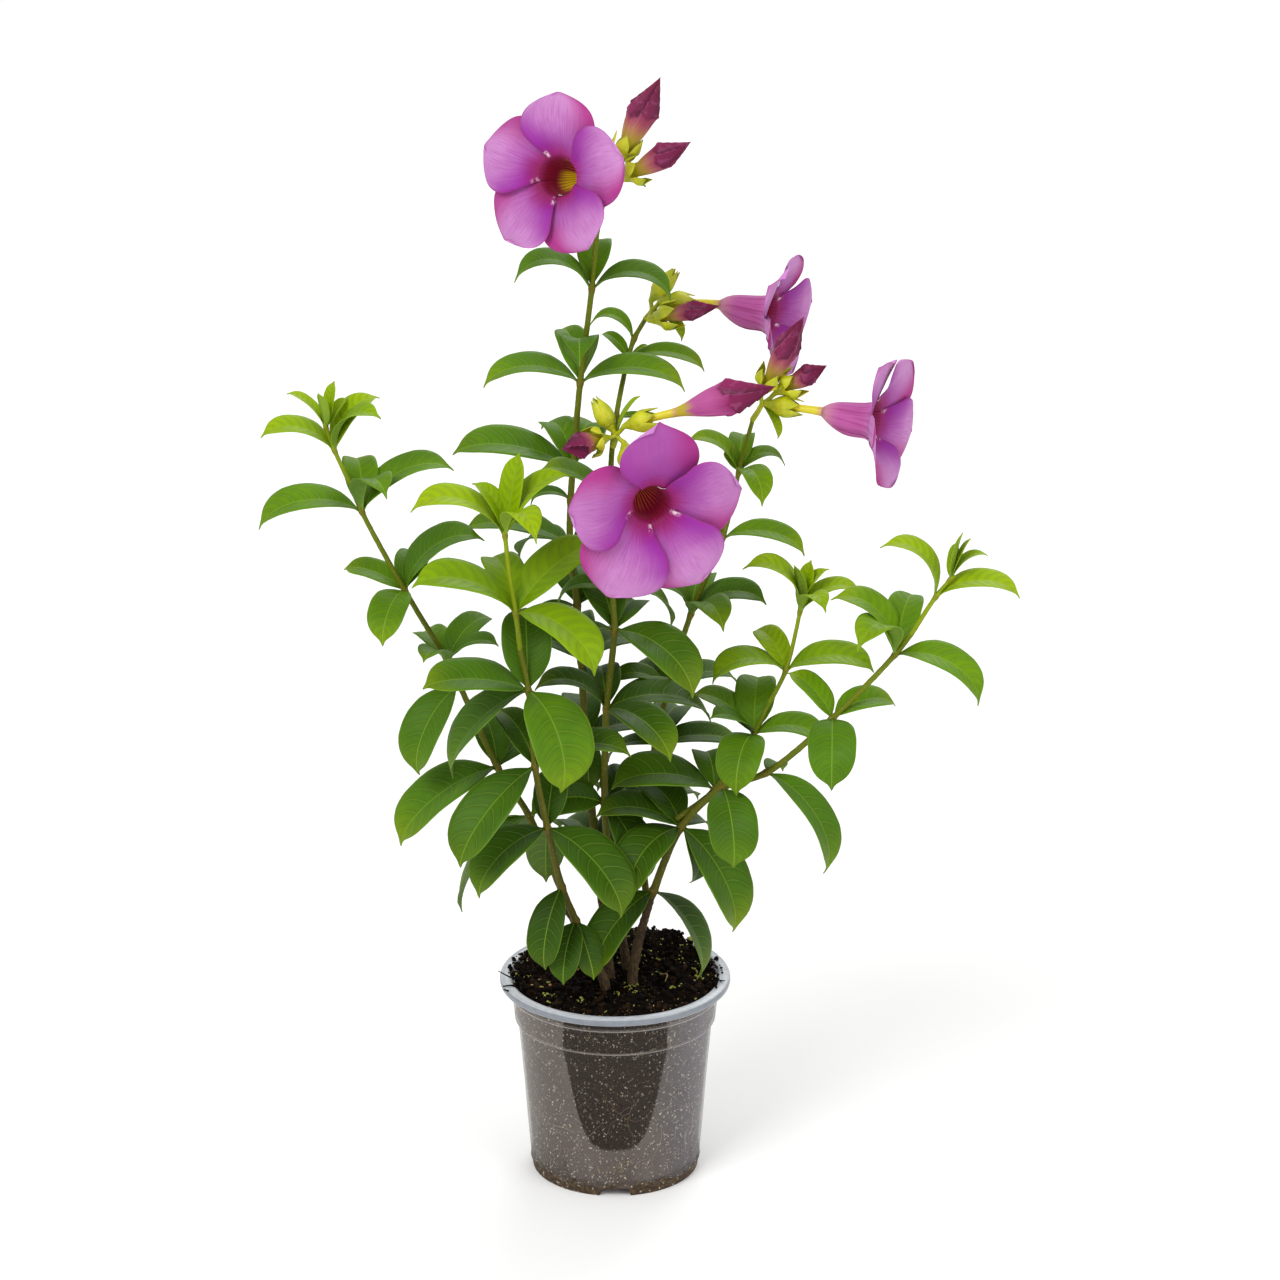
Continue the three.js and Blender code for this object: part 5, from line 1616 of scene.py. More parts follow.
@dataclass
class OpenFlower:
    """An open trumpet: a narrow tube, a funnel and five lobes like a pinwheel."""

    calyx: Triple
    mouth: Triple
    face: Triple
    spin: float
    radius: float
    sepal: float
    amber: float = 0.4
    dusk: float = 0.0
    cups: Reals = (1,) * 5
    shifts: Reals = (0,) * 5
    reaches: Reals = (1,) * 5
    widths: Reals = (1,) * 5
    leans: Reals = (0,) * 5
    funnel: float = 27.0
    mouth_radius: float = 10.4
    thickness: float = 0.42
    lobes: int = 5
    gap: float = 0.3

    FUNNEL_RADIUS = Profile((
        (-1, 2.3), (-0.94, 3.4), (-0.87, 4.7), (-0.74, 5.9), (-0.56, 6.7), (-0.38, 7.3),
        (-0.22, 8), (-0.09, 9), (0, 10.4),
    ))
    HALF_ANGLE = Profile((
        (-1, 37), (-0.1, 37.5), (0, 38.5), (0.12, 42), (0.28, 44.5), (0.42, 45),
        (0.56, 44), (0.68, 41), (0.78, 36.5), (0.86, 31.5), (0.92, 25.5), (0.965, 17.5),
        (0.99, 9.5), (1, 5),
    ))
    FORWARD = Profile((
        (0, 0), (0.1, 0.02), (0.25, 0.08), (0.42, 0.135), (0.6, 0.168), (0.8, 0.18),
        (1, 0.155),
    ))
    PITCH = Profile(((-1, 0), (-0.2, 0), (0, 0.012), (0.25, 0.05), (0.5, 0.07), (1, 0.05)))
    COLUMNS = tuple((j - 9) / 9 for j in range(19))
    STATIONS = (
        *(-1 + 0.11 * k for k in range(9)),
        *(0.024 * k for k in range(30)),
        *(0.72 + 0.02 * k for k in range(11)),
        0.94, 0.957, 0.972, 0.985, 0.994, 1.0,
    )

    def back(self) -> Vector:
        """Where the funnel starts, just past the end of the tube."""
        forward = Vector(self.face).normalized()
        return Vector(self.mouth) - forward * (self.funnel + self.gap)

    def bend(self) -> Vector:
        """Where the tube turns to run straight into the funnel."""
        return self.back() - Vector(self.face).normalized() * 5

    def build(self, bunch: str) -> None:
        """Makes the petals and the tube.

        Args:
            bunch: The name of its flower head.
        """
        shell = Shell()
        turned = facing(self.mouth, self.face, self.spin)
        turn = turned.to_3x3()
        toward = Vector(self.calyx) - Vector(self.mouth)
        glow = (turn.inverted() @ toward).xy.normalized()
        down = (turn.inverted() @ -UP).xy
        rng = random.Random(f"petals {bunch}")
        for k in range(self.lobes):
            tone, phase = rng.random(), rng.uniform(0, 6.28)
            dusk = self.dusk * max(0.0, -Vector(spot(1, tau * k / self.lobes)).dot(down))
            grid = [[self._point(s, v, k, phase, down) for v in self.COLUMNS] for s in self.STATIONS]
            rows = []
            for i, s in enumerate(self.STATIONS):
                row = []
                for j, v in enumerate(self.COLUMNS):
                    here = grid[i][j]
                    along = grid[min(i + 1, len(grid) - 1)][j] - grid[max(i - 1, 0)][j]
                    across = grid[i][min(j + 1, 18)] - grid[i][max(j - 1, 0)]
                    normal = across.cross(along).normalized() * -1
                    angle = atan2(here.y, here.x)
                    lit = Vector(spot(1, angle)).dot(glow) * self.amber
                    edge = 1 - 0.45 * max(abs(v) ** 6, max(0.0, s) ** 8)
                    step = turn @ (normal * -self.thickness * edge)
                    mark = (tone + 10 * dusk, lit, angle / tau)
                    row.append((turned @ here, step, (s, v), mark))
                rows.append(row[::-1])
            shell.leaf_of(rows)
        name = f"flower_{bunch}"
        shell.piece(f"{name}_petals", PetalFinish(), "petal", [f"{name}_corolla"])
        self._tube(name)

    def _point(self, s: float, v: float, lobe: int, phase: float, down: Vector) -> Vector:
        """A place on a petal in the flower's own frame.

        Args:
            s: How far out it is: -1 at the tube, 0 at the mouth and 1 at the lobe's tip.
            v: How far across it is, from -1 to 1.
            lobe: Which petal it is on.
            phase: Where the petal's ruffles start.
            down: The way down, seen in the plane of the mouth.

        Returns:
            The place.
        """
        half = radians(self.HALF_ANGLE(s))
        middle = tau * lobe / self.lobes
        out = max(s, 0.0)
        middle += radians(self.shifts[lobe]) * min(1.0, out / 0.4)
        half *= lerp(1.0, self.widths[lobe], min(1.0, out / 0.4))
        angle = middle + v * half + 0.07 * out ** 1.5
        way = Vector(spot(1, angle))
        if s < 0:
            belly = 1 + 0.34 * max(0.0, way.dot(down)) * sin(pi * (s + 1)) ** 2
            r = self.FUNNEL_RADIUS(s) * belly - 0.3 * v * (s + 1)
            z = s * self.funnel
        else:
            far = self.radius * self.reaches[lobe]
            r = lerp(self.mouth_radius, far, s) * (1 - 0.035 * v * v * out) - 0.3 * v
            point = 0.012 + 0.1 * self.dusk * max(0.0, -way.dot(down))
            r += point * far * out ** 12 * (1 - abs(v))
            cup = self.cups[lobe]
            z = (self.FORWARD(s) * cup + 0.16 * (max(self.cups) - 1) * s ** 3) * self.radius
        z += (self.PITCH(s) / max(self.cups) ** 2 + self.leans[lobe] * out) * self.radius * v
        z -= 0.035 * self.radius * out * v * v
        z += 0.013 * self.radius * out * abs(v) ** 1.5 * sin(5 * s + 4 * v + phase)
        z += 0.012 * self.radius * out * cos(3.1 * v) * sin(4 * s)
        return Vector((r * way.x, r * way.y, z))

    def _tube(self, name: str) -> None:
        """Makes the narrow tube from the calyx to the funnel.

        Args:
            name: The flower's name.
        """
        forward = Vector(self.face).normalized()
        base = Vector(self.calyx)
        bend, end = self.bend(), self.back()
        seat = base + (bend - base).normalized() * self.gap
        steps = (k / 6 for k in range(7))
        knots = [seat * (1 - t) ** 2 + bend * (2 * t * (1 - t)) + end * t * t for t in steps]
        knots[-1] = knots[-1] + forward * 0.8
        shape = Profile(((0, 1.7), (0.3, 1.9), (0.75, 2.1), (1, 2.5)))
        add_neck(name, knots, shape)


@dataclass
class Bud:
    """A furled bud: five folds that twist up to a point from shoulders past its middle."""

    calyx: Triple
    tip: Triple
    radius: float
    sepal: float
    tube: float = 0.0
    twist: float = 0.9
    folds: int = 5
    shoulder: float = 0.57
    rings: int = 66
    around: int = 70
    gap: float = 0.3

    WIDTH = Profile((
        (0, 0.26), (0.08, 0.35), (0.2, 0.54), (0.32, 0.72), (0.44, 0.84), (0.56, 0.92), (0.66, 0.94),
    ))

    def _girth(self, s: float, fold: float, number: int) -> Pair:
        """How wide the bud is at a place on one of its folds.

        Args:
            s: How far along the bud.
            fold: How far across the fold, from 0 to 1.
            number: Which fold it is.

        Returns:
            The radius as a share of the bud's own, and how far past the shoulder it is.
        """
        side = tau / self.folds
        corner = abs(2 * fold - 1)
        shoulder = self.shoulder + 0.05 * sin(2.4 * number + self.radius)
        shoulder -= 0.07 * (1 - corner)
        flat = cos(side / 2) / cos((fold - 0.5) * side)
        above = 1.1 * flat * (1 - s) / (1 - shoulder)
        lip = 0.15 * corner ** 4 * exp(-max(0.0, shoulder - s) / 0.035)
        below = self.WIDTH(s) * (0.95 + 0.06 * corner ** 2) + lip
        lapped = 1 + 0.07 * (0.5 - fold) * min(1.0, s * 5)
        return (above if s > shoulder else min(below, above)) * lapped, s - shoulder

    def axis(self) -> Vector:
        """The direction from the calyx to the tip."""
        return (Vector(self.tip) - Vector(self.calyx)).normalized()

    def build(self, name: str) -> None:
        """Makes the bud and, where it has one, its tube.

        Args:
            name: The bud's name.
        """
        seat = Vector(self.calyx) + self.axis() * self.gap
        start = seat + self.axis() * self.tube
        turned = facing(start, self.axis())
        length = (Vector(self.tip) - start).length
        tone = random.Random(name).random()
        ripe = min(1.0, self.tube / 10)
        shell = Shell()
        rings = []
        for i in range(self.rings + 1):
            s = i / self.rings
            ring = []
            for k in range(self.around):
                angle = tau * k / self.around
                turn = angle - self.twist * max(0.0, s - 0.4)
                number, fold = divmod(self.folds * turn / tau, 1.0)
                girth, past = self._girth(s, fold, int(number) % self.folds)
                point = Vector((*spot(self.radius * max(girth, 0.02), angle), s * length))
                ring.append(shell.add(turned @ point, (s, fold, past), (tone, ripe, 0.0)))
            rings.append(ring)
        shell.strip(rings)
        for k, share, height in ((0, 0.0, -0.2), (-1, 1.0, length)):
            centre = shell.add(turned @ (UP * height), (share, 0.5, 0.0), (tone, ripe, 0.0))
            shell.cap(rings[k], centre, flip=k == 0)
        shell.piece(f"{name}_folds", BudFinish(), "bud", [name], crease=24)
        if self.tube:
            end = start + self.axis() * 0.6
            middle = (seat + end) / 2 + Vector((0, 0, 0.4))
            add_neck(name, (seat, middle, end), Profile(((0, 1.8), (0.7, 2.1), (1, 2.5))))


@dataclass
class Calyx:
    """A small cup on a stalk with five pointed sepals."""

    centre: Vector
    base: Vector
    axis: Vector
    sepal: float
    spread: float = 0
    count: int = 5
    half_width: float = 3.5
    cup_depth: float = 4.5

    SEPAL = Profile(((0, 0.5), (0.18, 0.82), (0.4, 1), (0.6, 0.86), (0.78, 0.5), (0.92, 0.17), (1, 0)))

    def grow(self, shell: Shell, rng: random.Random) -> None:
        """Adds the calyx to a mesh.

        Args:
            shell: The mesh in the making.
            rng: The source of its unevenness.
        """
        turned = facing(self.base, self.axis)
        neck = self.base - self.axis.normalized() * (self.cup_depth - 0.5)
        tone = rng.random() * 0.5
        bow = (self.centre + neck) / 2 + Vector((0, 0, -0.4))
        shell.tube(
            Route((self.centre, bow, neck), 1.2), Profile(((0, 1.3), (0.6, 1.1), (1, 1.4))),
            12, lambda s: (tone, 0.0, 0.0), wobble=0.08,
        )
        low, high = turned @ (UP * -self.cup_depth), turned @ (UP * 0.6)
        cup = Profile(((0, 1.3), (0.35, 2), (0.8, 3), (1, 2.7)))
        shell.tube(Route((low, high), 0.6), cup, 20, lambda s: (tone, 0.0, 0.0))
        for k in range(self.count):
            spun = Matrix.Rotation(tau * k / self.count, 4, "Z")
            self._sepal(shell, turned, spun, rng)

    def _sepal(self, shell: Shell, turned: Matrix, spun: Matrix, rng: random.Random) -> None:
        """Adds one sepal.

        Args:
            shell: The mesh in the making.
            turned: The calyx's frame.
            spun: The sepal's turn about the calyx's axis.
            rng: The source of its unevenness.
        """
        lean = rng.uniform(-0.5, 0.8)
        long = self.sepal * rng.uniform(0.9, 1.04)
        tone = rng.random() * 0.6
        waist = 4.9 + self.spread
        tip = 3.6 + 1.8 * self.spread + lean
        bow = lerp(waist, tip, 0.45)
        away = Profile(((0, 2.5), (0.2, 3.9), (0.42, waist), (0.72, bow), (1, tip)))
        rows = []
        for i in range(17):
            t = i / 16
            half = self.half_width * self.SEPAL(t) + 0.08
            row = []
            for v in (k / 4 for k in range(-4, 5)):
                r = away(t) + 0.35 * half * (1 - v * v) - 0.2 * half
                point = turned @ (spun @ Vector((r, v * half, t * long - 0.4)))
                out = Vector((0.45, 0.0, 0.0)) * (1 - 0.5 * v * v)
                step = turned.to_3x3() @ (spun.to_3x3() @ out)
                row.append((point, step, (t, v), (tone, 0.0, 0.0)))
            rows.append(row[::-1])
        shell.leaf_of(rows)


@dataclass
class FlowerHead:
    """A bunch at the end of a stem: one open flower, buds, empty calyces and bracts."""

    name: str
    centre: Triple
    flower: OpenFlower
    buds: tuple[Bud, ...]
    bracts: tuple[Reals, ...]
    empties: tuple[tuple[Triple, Triple], ...] = ()
    stem: str | None = None
    foot: Triple | None = None
    empty_sepal: float = 17.0

    def build(self, stem_end: Triple | None) -> None:
        """Makes the whole bunch.

        Args:
            stem_end: Where its stem ends, or nothing where it has a foot of its own.
        """
        centre = Vector(self.centre)
        rng = random.Random(f"calyces {self.name}")
        shell = Shell()
        start = Vector(self.foot or stem_end)
        way = (centre - start).normalized()
        middle = (start + centre) / 2 + Vector((0.3, 0, 0))
        shell.tube(
            Route((start - way * 0.8, middle, centre + way * 0.8), 1.2), lambda s: 1.5 - 0.2 * s,
            12, lambda s: (0.4, 0.0, 0.0), wobble=0.1,
        )
        flower = self.flower
        base = Vector(flower.calyx)
        Calyx(centre, base, flower.bend() - base, flower.sepal).grow(shell, rng)
        for k, bud in enumerate(self.buds, start=1):
            spread = 0 if bud.tube else 2
            Calyx(centre, Vector(bud.calyx), bud.axis(), bud.sepal, spread).grow(shell, rng)
            bud.build(f"bud_{self.name}_{k}")
        for base, tip in self.empties:
            axis = Vector(tip) - Vector(base)
            Calyx(centre, Vector(base), axis, self.empty_sepal, -1).grow(shell, rng)
        name = f"calyces_{self.name}"
        shell.piece(f"{name}_sepals", CalyxFinish(), "calyx", [name])
        leaves = Shell()
        for right, behind, up, arch in self.bracts:
            Blade(
                root=centre, reach=Vector((right, behind, up)), arch=arch, ratio=0.3, age=0.95,
                tone=rng.random(), twist=0.0, rows=16,
            ).grow(leaves)
        leaves.piece(f"{name}_bracts", LeafFinish(), "calyx", [name])
        flower.build(self.name)


SHOOTS = (
    WoodyShoot("wood_left", (
        Branch("stem_left", (3.1, 1.9), ((-5, -20, 78), (-5, -19, 109), (-17, -12, 131), (-21, -11, 141))),
        Branch("stem_front", (3.1, 2), ((-5, -20, 78), (-5, -19, 109), (-14, -22, 130), (-17, -24, 139))),
        Branch(None, (2.4, 2), ((-12, -19, 127), (-18, -19, 141), (-26, -20, 153))),
    )),
    WoodyShoot("wood_centre", (
        Branch("stem_tall", (3.3, 2.2), ((-3, -5, 78), (-3, -6, 109), (-8, 1, 160))),
    )),
    WoodyShoot("wood_back", (Branch("stem_middle", (2.8, 2.1), ((7, 5, 78), (6, 4, 109), (0, -5, 153))),)),
    WoodyShoot("wood_right", (
        Branch("stem_back", (3.2, 1.9), (
            (10, -15, 78), (9, -14, 109), (12, -9, 131), (16.5, -7, 145), (16, -5, 155))),
        Branch("stem_right", (3.2, 2.1), ((10, -15, 78), (9, -14, 109), (13, -12, 133), (19, -18, 159))),
    )),
)

STEMS = (
    LeafyStem("stem_left", "dark_leaf", None, (1.9, 1.2), (0.12, 0.5), (
        Whorl((-44, -8, 199), 0.42, ((-35, 10, -58, 8), (-11, 30, -40, 8))),
        Whorl((-60, -6, 225), 0.5, ((-49, -16, -37, 9), (-9, 26, 19, 8), (20, 24, 4, 6))),
        Whorl((-79, -6, 270), 0.48, ((-20, -16, -43, 9),)),
        Whorl((-85, -6, 283), 0.46, ((22, 24, 14, 7), (26, -8, 11, 6), (-11, -26, 9, 6), (-15, 28, 2, 8))),
        Whorl((-106, -6, 321), 0.48, ((-31, 12, 7, 5), (-10, -30, -19, 9), (40, 5, 25, 12), (7, 30, 6, 9))),
        Whorl((-127, -8, 364), 0.42, (
            (-51, -8, -7, 11), (46, 5, 20, 11), (-5, 28, 17, 12), (14, -28, 16, 13))),
        Whorl((-133, -9, 380)),
    )),
    LeafyStem("tip_left", "young_leaf", "stem_left", (1.2, 0.9), (0.8, 1), (
        Whorl((-140, -10, 397), 0.4, ((-36, -5, 8, 9), (22, 14, 23, 8), (24, -14, 21, 10))),
        Whorl((-144, -10, 409), 0.3, ((-19, 2, 17, 4), (-3, -6, 20, 1), (4, 4, 23, 1), (10, 10, 12, 3))),
    )),
    LeafyStem("stem_front", "dark_leaf", None, (2, 1.4), (0.0, 0.3), (
        Whorl((-20, -26, 148), 0.45, ((-6, -22, -26, 6), (9, -18, -25, 4))),
        Whorl((-27, -31, 169), 0.42, ((-8, -16, -39, 7),)),
        Whorl((-34, -40, 205), 0.5, (
            (-34, -20, -30, 9), (37, -24, -39, 10), (-1, 12, -35, 8), (4, 24, 22, 6))),
        Whorl((-40, -44, 240), 0.46, (
            (-37, -24, -45, 8), (-20, 24, 21, 7), (48, -14, 11, 9), (19, 34, 12, 8))),
        Whorl((-43, -46, 282), 0.54, (
            (-52, -14, 6, 6), (-38, 4, -49, 9), (-2, 28, 34, 8), (16, -26, -45, 14))),
        Whorl((-47, -47, 305)),
    )),
    LeafyStem("tip_front", "young_leaf", "stem_front", (1.4, 1.1), (0.72, 1), (
        Whorl((-49, -48, 324), 0.44, (
            (-51, -8, 16, 11), (39, -26, -24, 12), (42, 28, 25, 9), (-14, 34, 16, 10))),
        Whorl((-52, -48, 345)),
        Whorl((-54, -48, 365), 0.36, (
            (-46, -6, 14, 13), (32, 8, 28, 9), (7, 6, 41, 1), (-16, 6, 25, 6), (16, -28, 5, 14))),
    )),
    LeafyStem("stem_tall", "leaf", None, (2.2, 1.3), (0.05, 0.5), (
        Whorl((-10, 3, 178), 0.44, ((-19, 34, -5, 9), (34, 26, -14, 7))),
        Whorl((-15, 7, 235), 0.44, ((-29, 20, -5, 9), (38, 22, -9, 9), (-3, 40, 7, 10), (2, -18, -21, 8))),
        Whorl((-17, 8, 278), 0.44, ((-37, 10, 2, 9), (30, 26, -4, 9), (-4, 36, 9, 10))),
        Whorl((-19, 8, 308), 0.44, ((-19, -10, -15, 8), (-10, 34, 12, 9), (32, 26, -1, 10))),
        Whorl((-22.5, 8, 341), 0.4, ((-53, -2, 8, 7), (-26, 24, -16, 9), (41, 22, -5, 10))),
        Whorl((-22, 8, 365), 0.36, ((-20, 2, -4, 6),)),
        Whorl((-21, 8, 381), 0.42, ((-60, -4, 9, 9), (-16, 26, 13, 12), (13, 28, 12, 12))),
        Whorl((-17, 8, 427), 0.4, (
            (-48, -6, -1, 10), (52, -6, -3, 10), (-10, 24, 20, 10), (0, -26, 16, 18))),
        Whorl((-11, 4, 477), 0.4, ((-38, -6, 5, 13), (39, -8, -4, 12), (1, 30, 11, 14))),
        Whorl((-7.8, 2, 510)),
        Whorl((-3, 0, 530)),
    )),
    LeafyStem("stem_middle", "leaf", None, (2.1, 1.2), (0.05, 0.55), (
        Whorl((-3, -11, 178), 0.44, ((8, 38, 3, 8),)),
        Whorl((-5, -16, 209), 0.46, (
            (-37, -12, -2, 7, -36), (16, -14, -40, 9), (18, 32, 0, 9), (-24, 14, -8, 3))),
        Whorl((-4, -16, 261), 0.44, (
            (-36, -6, 12, 10), (32, -36, -15, 9), (53, 16, -14, 11), (-4, 38, 7, 8))),
        Whorl((0, -16, 303), 0.46, (
            (-16, 36, 22, 9), (12, 36, 0, 8), (-21, -10, -9, 7), (39, -28, -26, 12))),
        Whorl((-1, -14, 324), 0.42, ((29, 12, -25, 10), (-27, 8, -12, 8))),
        Whorl((-2, -11, 369), 0.5, ((-34, -6, 20, 6),)),
        Whorl((-1, -8, 397)),
        Whorl((1, -4, 412), 0.34, ((18, -3, -2, 3), (-7, 8, -22, 4))),
        Whorl((4, 14, 424)),
        Whorl((7, 26, 434), 0.34, ((38, -6, -5, 7), (-13, 12, 9, 4), (9, -2, 8, 1))),
        Whorl((10, 30, 443), 0.34, ((-22, 4, 6, 9),)),
        Whorl((16, 33.5, 453)),
    )),
    LeafyStem("stem_back", "leaf", None, (1.9, 1.1), (0.1, 0.6), (
        Whorl((13, 4, 196), 0.44, ((30, 28, -4, 9), (-22, 30, 0, 9))),
        Whorl((21, 10, 231), 0.42, ((44, 8, -4, 6), (-24, 12, -14, 6), (14, 38, 4, 9))),
        Whorl((27, 12, 260), 0.44, ((-28, -6, 6, 8), (-19, 26, 1, 8), (36, 16, -2, 8), (12, 34, 7, 9))),
        Whorl((39, 12, 302), 0.44, ((38, -6, 7, 10), (16, -32, 2, 11), (-20, -4, 15, 7), (8, 34, 6, 9))),
        Whorl((55, 12, 343), 0.36, ((41, -8, -7, 9), (-16, 24, 6, 8))),
        Whorl((63, 8, 380), 0.4, (
            (23, 6, 1, 8), (11, -26, -10, 10), (-26, 2, 15, 8), (-7, 8, 8, 1), (-3, 2, 13, 1),
            (4, 26, 9, 8))),
        Whorl((69.6, -2, 411)),
    )),
    LeafyStem("stem_right", "leaf", None, (2.1, 1.3), (0.05, 0.6), (
        Whorl((20, -19, 162), 0.5, ((-29, -18, -39, 8), (22, -6, -47, 10, -18))),
        Whorl((34, -26, 200), 0.52, (
            (-25, -24, -30, 12), (26, -14, -52, 9), (4, -2, -30, 7), (-43, -2, 6, 8),
            (-21, 28, 10, 9), (16, 20, -11, 5))),
        Whorl((55, -32, 224), 0.52, ((5, -24, -34, 12),)),
        Whorl((77, -34, 233), 0.36, ((29, -8, -52, 12), (9, 22, -8, 5))),
        Whorl((110, -38, 264), 0.5, ((-22, 14, 19, 4), (32, 12, 2, 7), (-1, -28, -28, 13))),
        Whorl((141, -40, 299), 0.42, (
            (10, 32, 20, 9), (-20, -26, 11, 15), (-32, 6, 27, 12), (41, -12, -23, 12))),
        Whorl((149, -40, 310)),
    )),
    LeafyStem("tip_right", "young_leaf", "stem_right", (1.3, 1), (0.85, 1), (
        Whorl((161, -40, 330), 0.38, ((-28, 2, 25, 12), (41, -6, 1, 9))),
        Whorl((168, -40, 339), 0.3, ((5, -3, 26, 1), (3, 5, 18, 1), (9, -1, 22, 1), (18, 2, 12, 5))),
    )),
    LeafyStem("stem_side", "leaf", None, (1.5, 1.2), (0.25, 0.55), (
        Whorl((32.4, -26.4, 205.4)),
        Whorl((51, -22, 219), 0.52, ((-52, -12, 5, 9), (-6, 26, 8, 9))),
        Whorl((71, -16, 247), 0.5, (
            (3, 30, 19, 10), (-31, 6, 19, 6), (-22, -14, 14, 5), (36, -6, -4, 8),
            (-9, -28, -23, 13))),
        Whorl((79, -15, 264)),
    )),
    LeafyStem("tip_side", "young_leaf", "stem_side", (1.2, 1), (0.7, 1), (
        Whorl((87, -14, 281), 0.44, ((-37, -12, -3, 10), (-15, 22, 13, 7), (44, -6, 1, 9))),
        Whorl((94, -12, 312), 0.36, (
            (-29, -4, 24, 12), (5, 4, 26, 1), (-3, -3, 26, 2), (14, 2, 22, 4), (31, 4, 7, 9),
            (12, -24, 8, 9))),
    )),
)

HEADS = (
    FlowerHead(
        name="top", stem="stem_tall", centre=(-2, 0, 534),
        flower=OpenFlower(
            calyx=(-4, -2, 537), mouth=(-27, -34, 545), face=(-0.49, -0.84, 0.24), spin=88, radius=40.5,
            sepal=10, amber=1,
        ),
        buds=(Bud((4, 3, 545), (23, 8, 584), 8.2, 12), Bud((7, -4, 537), (38, -10, 556), 7, 10)),
        bracts=((18, -6, -2, 2), (-2, 6, 22, 1)),
    ),
    FlowerHead(
        name="upper", stem="stem_middle", centre=(19, 34, 457),
        flower=OpenFlower(
            calyx=(27, 32, 462), mouth=(79.2, 26, 457.4), face=(0.95, -0.3, -0.09), spin=64, radius=34,
            sepal=15, cups=(1.05, 0.75, 1.2, 1.5, 1.6), shifts=(6, -8, -14, 0, 0),
            reaches=(0.92, 0.98, 0.95, 0.98, 1), widths=(0.9, 0.9, 0.6, 1, 1),
            leans=(-0.08, -0.13, 0, 0.04, 0),
        ),
        buds=(Bud((21, 26, 455), (53, 18, 464), 5.2, 14),),
        empties=(((21, 38, 464), (28, 38, 473)),),
        bracts=((15, -8, -14, 5),),
    ),
    FlowerHead(
        name="front", foot=(-0.3, -9.8, 399.3), centre=(1, -13, 406),
        flower=OpenFlower(
            calyx=(6, -18, 400), mouth=(19, -60, 385), face=(0.275, -0.96, -0.08), spin=85, radius=46,
            sepal=13, dusk=0.6, shifts=(0, 14, 8, -6, -8), reaches=(0.95, 0.96, 1.08, 1.03, 0.95),
        ),
        buds=(Bud((9, -17, 413), (80, -31, 437), 9.6, 15, 24), Bud((-6, -17, 405), (-26, -30, 404), 7.2, 9)),
        empties=(((-2, -12, 411), (-12, -8, 427)),),
        bracts=((12, -2, 21, 2),),
    ),
    FlowerHead(
        name="back", stem="stem_back", centre=(74, -6, 420),
        flower=OpenFlower(
            calyx=(80, -8, 420), mouth=(130, -22, 416), face=(0.95, -0.3, -0.09), spin=44, radius=34.5,
            sepal=15, cups=(1.3, 0.5, 1.1, 1.5, 1.6), shifts=(6, -12, -6, 2, 0),
            reaches=(1, 1.06, 1, 0.94, 1), widths=(1.1, 0.7, 0.6, 1, 1),
            leans=(-0.08, -0.11, 0, 0.06, 0),
        ),
        buds=(Bud((75, -9, 429), (94, -18, 469), 6.8, 13), Bud((84, -7, 428), (106, -12, 442), 5.8, 11)),
        bracts=((8, -4, -17, 3),),
    ),
)


@dataclass
class SoftLight:
    """A large soft lamp aimed at the plant."""

    name: str
    place: Triple
    size: float
    power: float
    target: Triple = (0.0, 0.0, 0.3)

    def build(self) -> None:
        """Puts the lamp in the scene."""
        data = bpy.data.lights.new(self.name, "AREA")
        data.size = self.size
        data.energy = self.power
        lamp = put(self.name, data)
        lamp.location = self.place
        way = Vector(self.target) - Vector(self.place)
        lamp.rotation_mode = "QUATERNION"
        lamp.rotation_quaternion = way.to_track_quat("-Z", "Y")


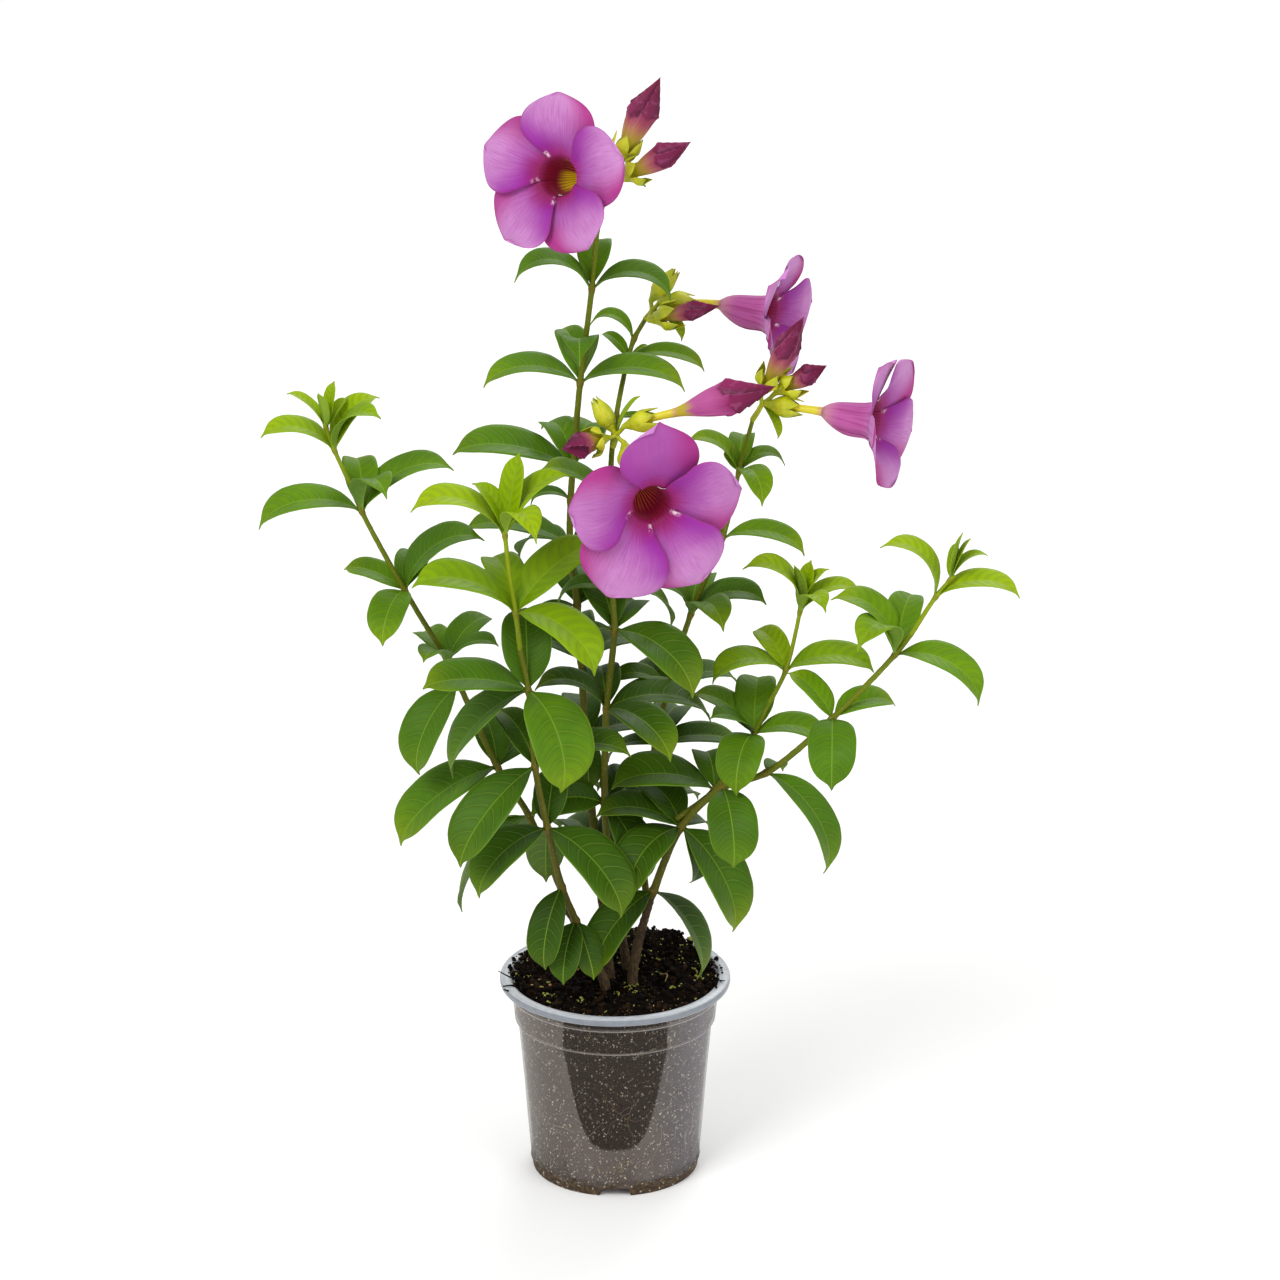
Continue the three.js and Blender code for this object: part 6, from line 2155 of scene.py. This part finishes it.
@dataclass
class Studio:
    """Camera, lamps, surrounding light and floor."""

    camera_mm: Triple = (13.0, -2560.0, 1224.0)
    pitch: float = 20.0
    sensor: float = 36.0
    focal_share: float = 5350 / 1280
    floor_size: float = 14.0
    sky: float = 0.72
    lamps: tuple[SoftLight, ...] = (
        SoftLight("key_light", (-1.5, -2.0, 2.6), 1.6, 62.0),
        SoftLight("fill_light", (2.2, -1.8, 1.6), 2.0, 30.0),
        SoftLight("back_light", (0.6, 2.4, 2.2), 1.8, 34.0),
    )

    def build(self) -> None:
        """Makes the studio."""
        self._camera()
        for lamp in self.lamps:
            lamp.build()
        self._world()
        self._floor()
        bpy.context.scene.view_settings.view_transform = "Standard"

    def _camera(self) -> None:
        """Puts the camera where the picture was taken from."""
        data = bpy.data.cameras.new("camera")
        data.sensor_width = self.sensor
        data.lens = self.sensor * self.focal_share
        data.clip_end = 50
        camera = put("camera", data)
        camera.location = Vector(self.camera_mm) * MM + AXIS
        camera.rotation_euler = (radians(90 - self.pitch), 0, 0)
        bpy.context.scene.camera = camera

    def _world(self) -> None:
        """Even pale light from all round."""
        world = bpy.data.worlds.new("soft_surroundings")
        world.use_nodes = True
        background = world.node_tree.nodes["Background"]
        background.inputs["Color"].default_value = (1.0, 1.0, 1.0, 1.0)
        background.inputs["Strength"].default_value = self.sky
        bpy.context.scene.world = world

    def _floor(self) -> None:
        """A wide level floor."""
        half = self.floor_size / 2
        mesh = bpy.data.meshes.new("floor")
        corners = [(-half, -half, 0), (half, -half, 0), (half, half, 0), (-half, half, 0)]
        mesh.from_pydata(corners, [], [(0, 1, 2, 3)])
        mesh.materials.append(FloorFinish().material())
        put("floor", mesh)


@dataclass
class Plant:
    """The whole plant: pot, soil, woody shoots, leafy stems and flower heads."""

    shoots: tuple[WoodyShoot, ...] = SHOOTS
    stems: tuple[LeafyStem, ...] = STEMS
    heads: tuple[FlowerHead, ...] = HEADS

    def build(self) -> None:
        """Makes every part, each from where the one before it ends."""
        pot = NurseryPot()
        pot.build()
        SoilBody(pot).build()
        ends: dict[str, Triple] = {}
        for shoot in self.shoots:
            shoot.build()
            for branch in shoot.branches:
                if branch.carries:
                    ends[branch.carries] = branch.route[-1]
        for stem in self.stems:
            start = ends.get(f"{stem.after} top") if stem.after else ends.get(stem.name)
            stem.build(start)
            ends[f"{stem.name} top"] = stem.whorls[-1].place
        for head in self.heads:
            head.build(ends.get(f"{head.stem} top"))


def main() -> None:
    """Builds the studio and the plant, and reports what was made."""
    logging.basicConfig(level=logging.INFO, format="%(message)s")
    Studio().build()
    Plant().build()


if __name__ == "__main__":
    main()
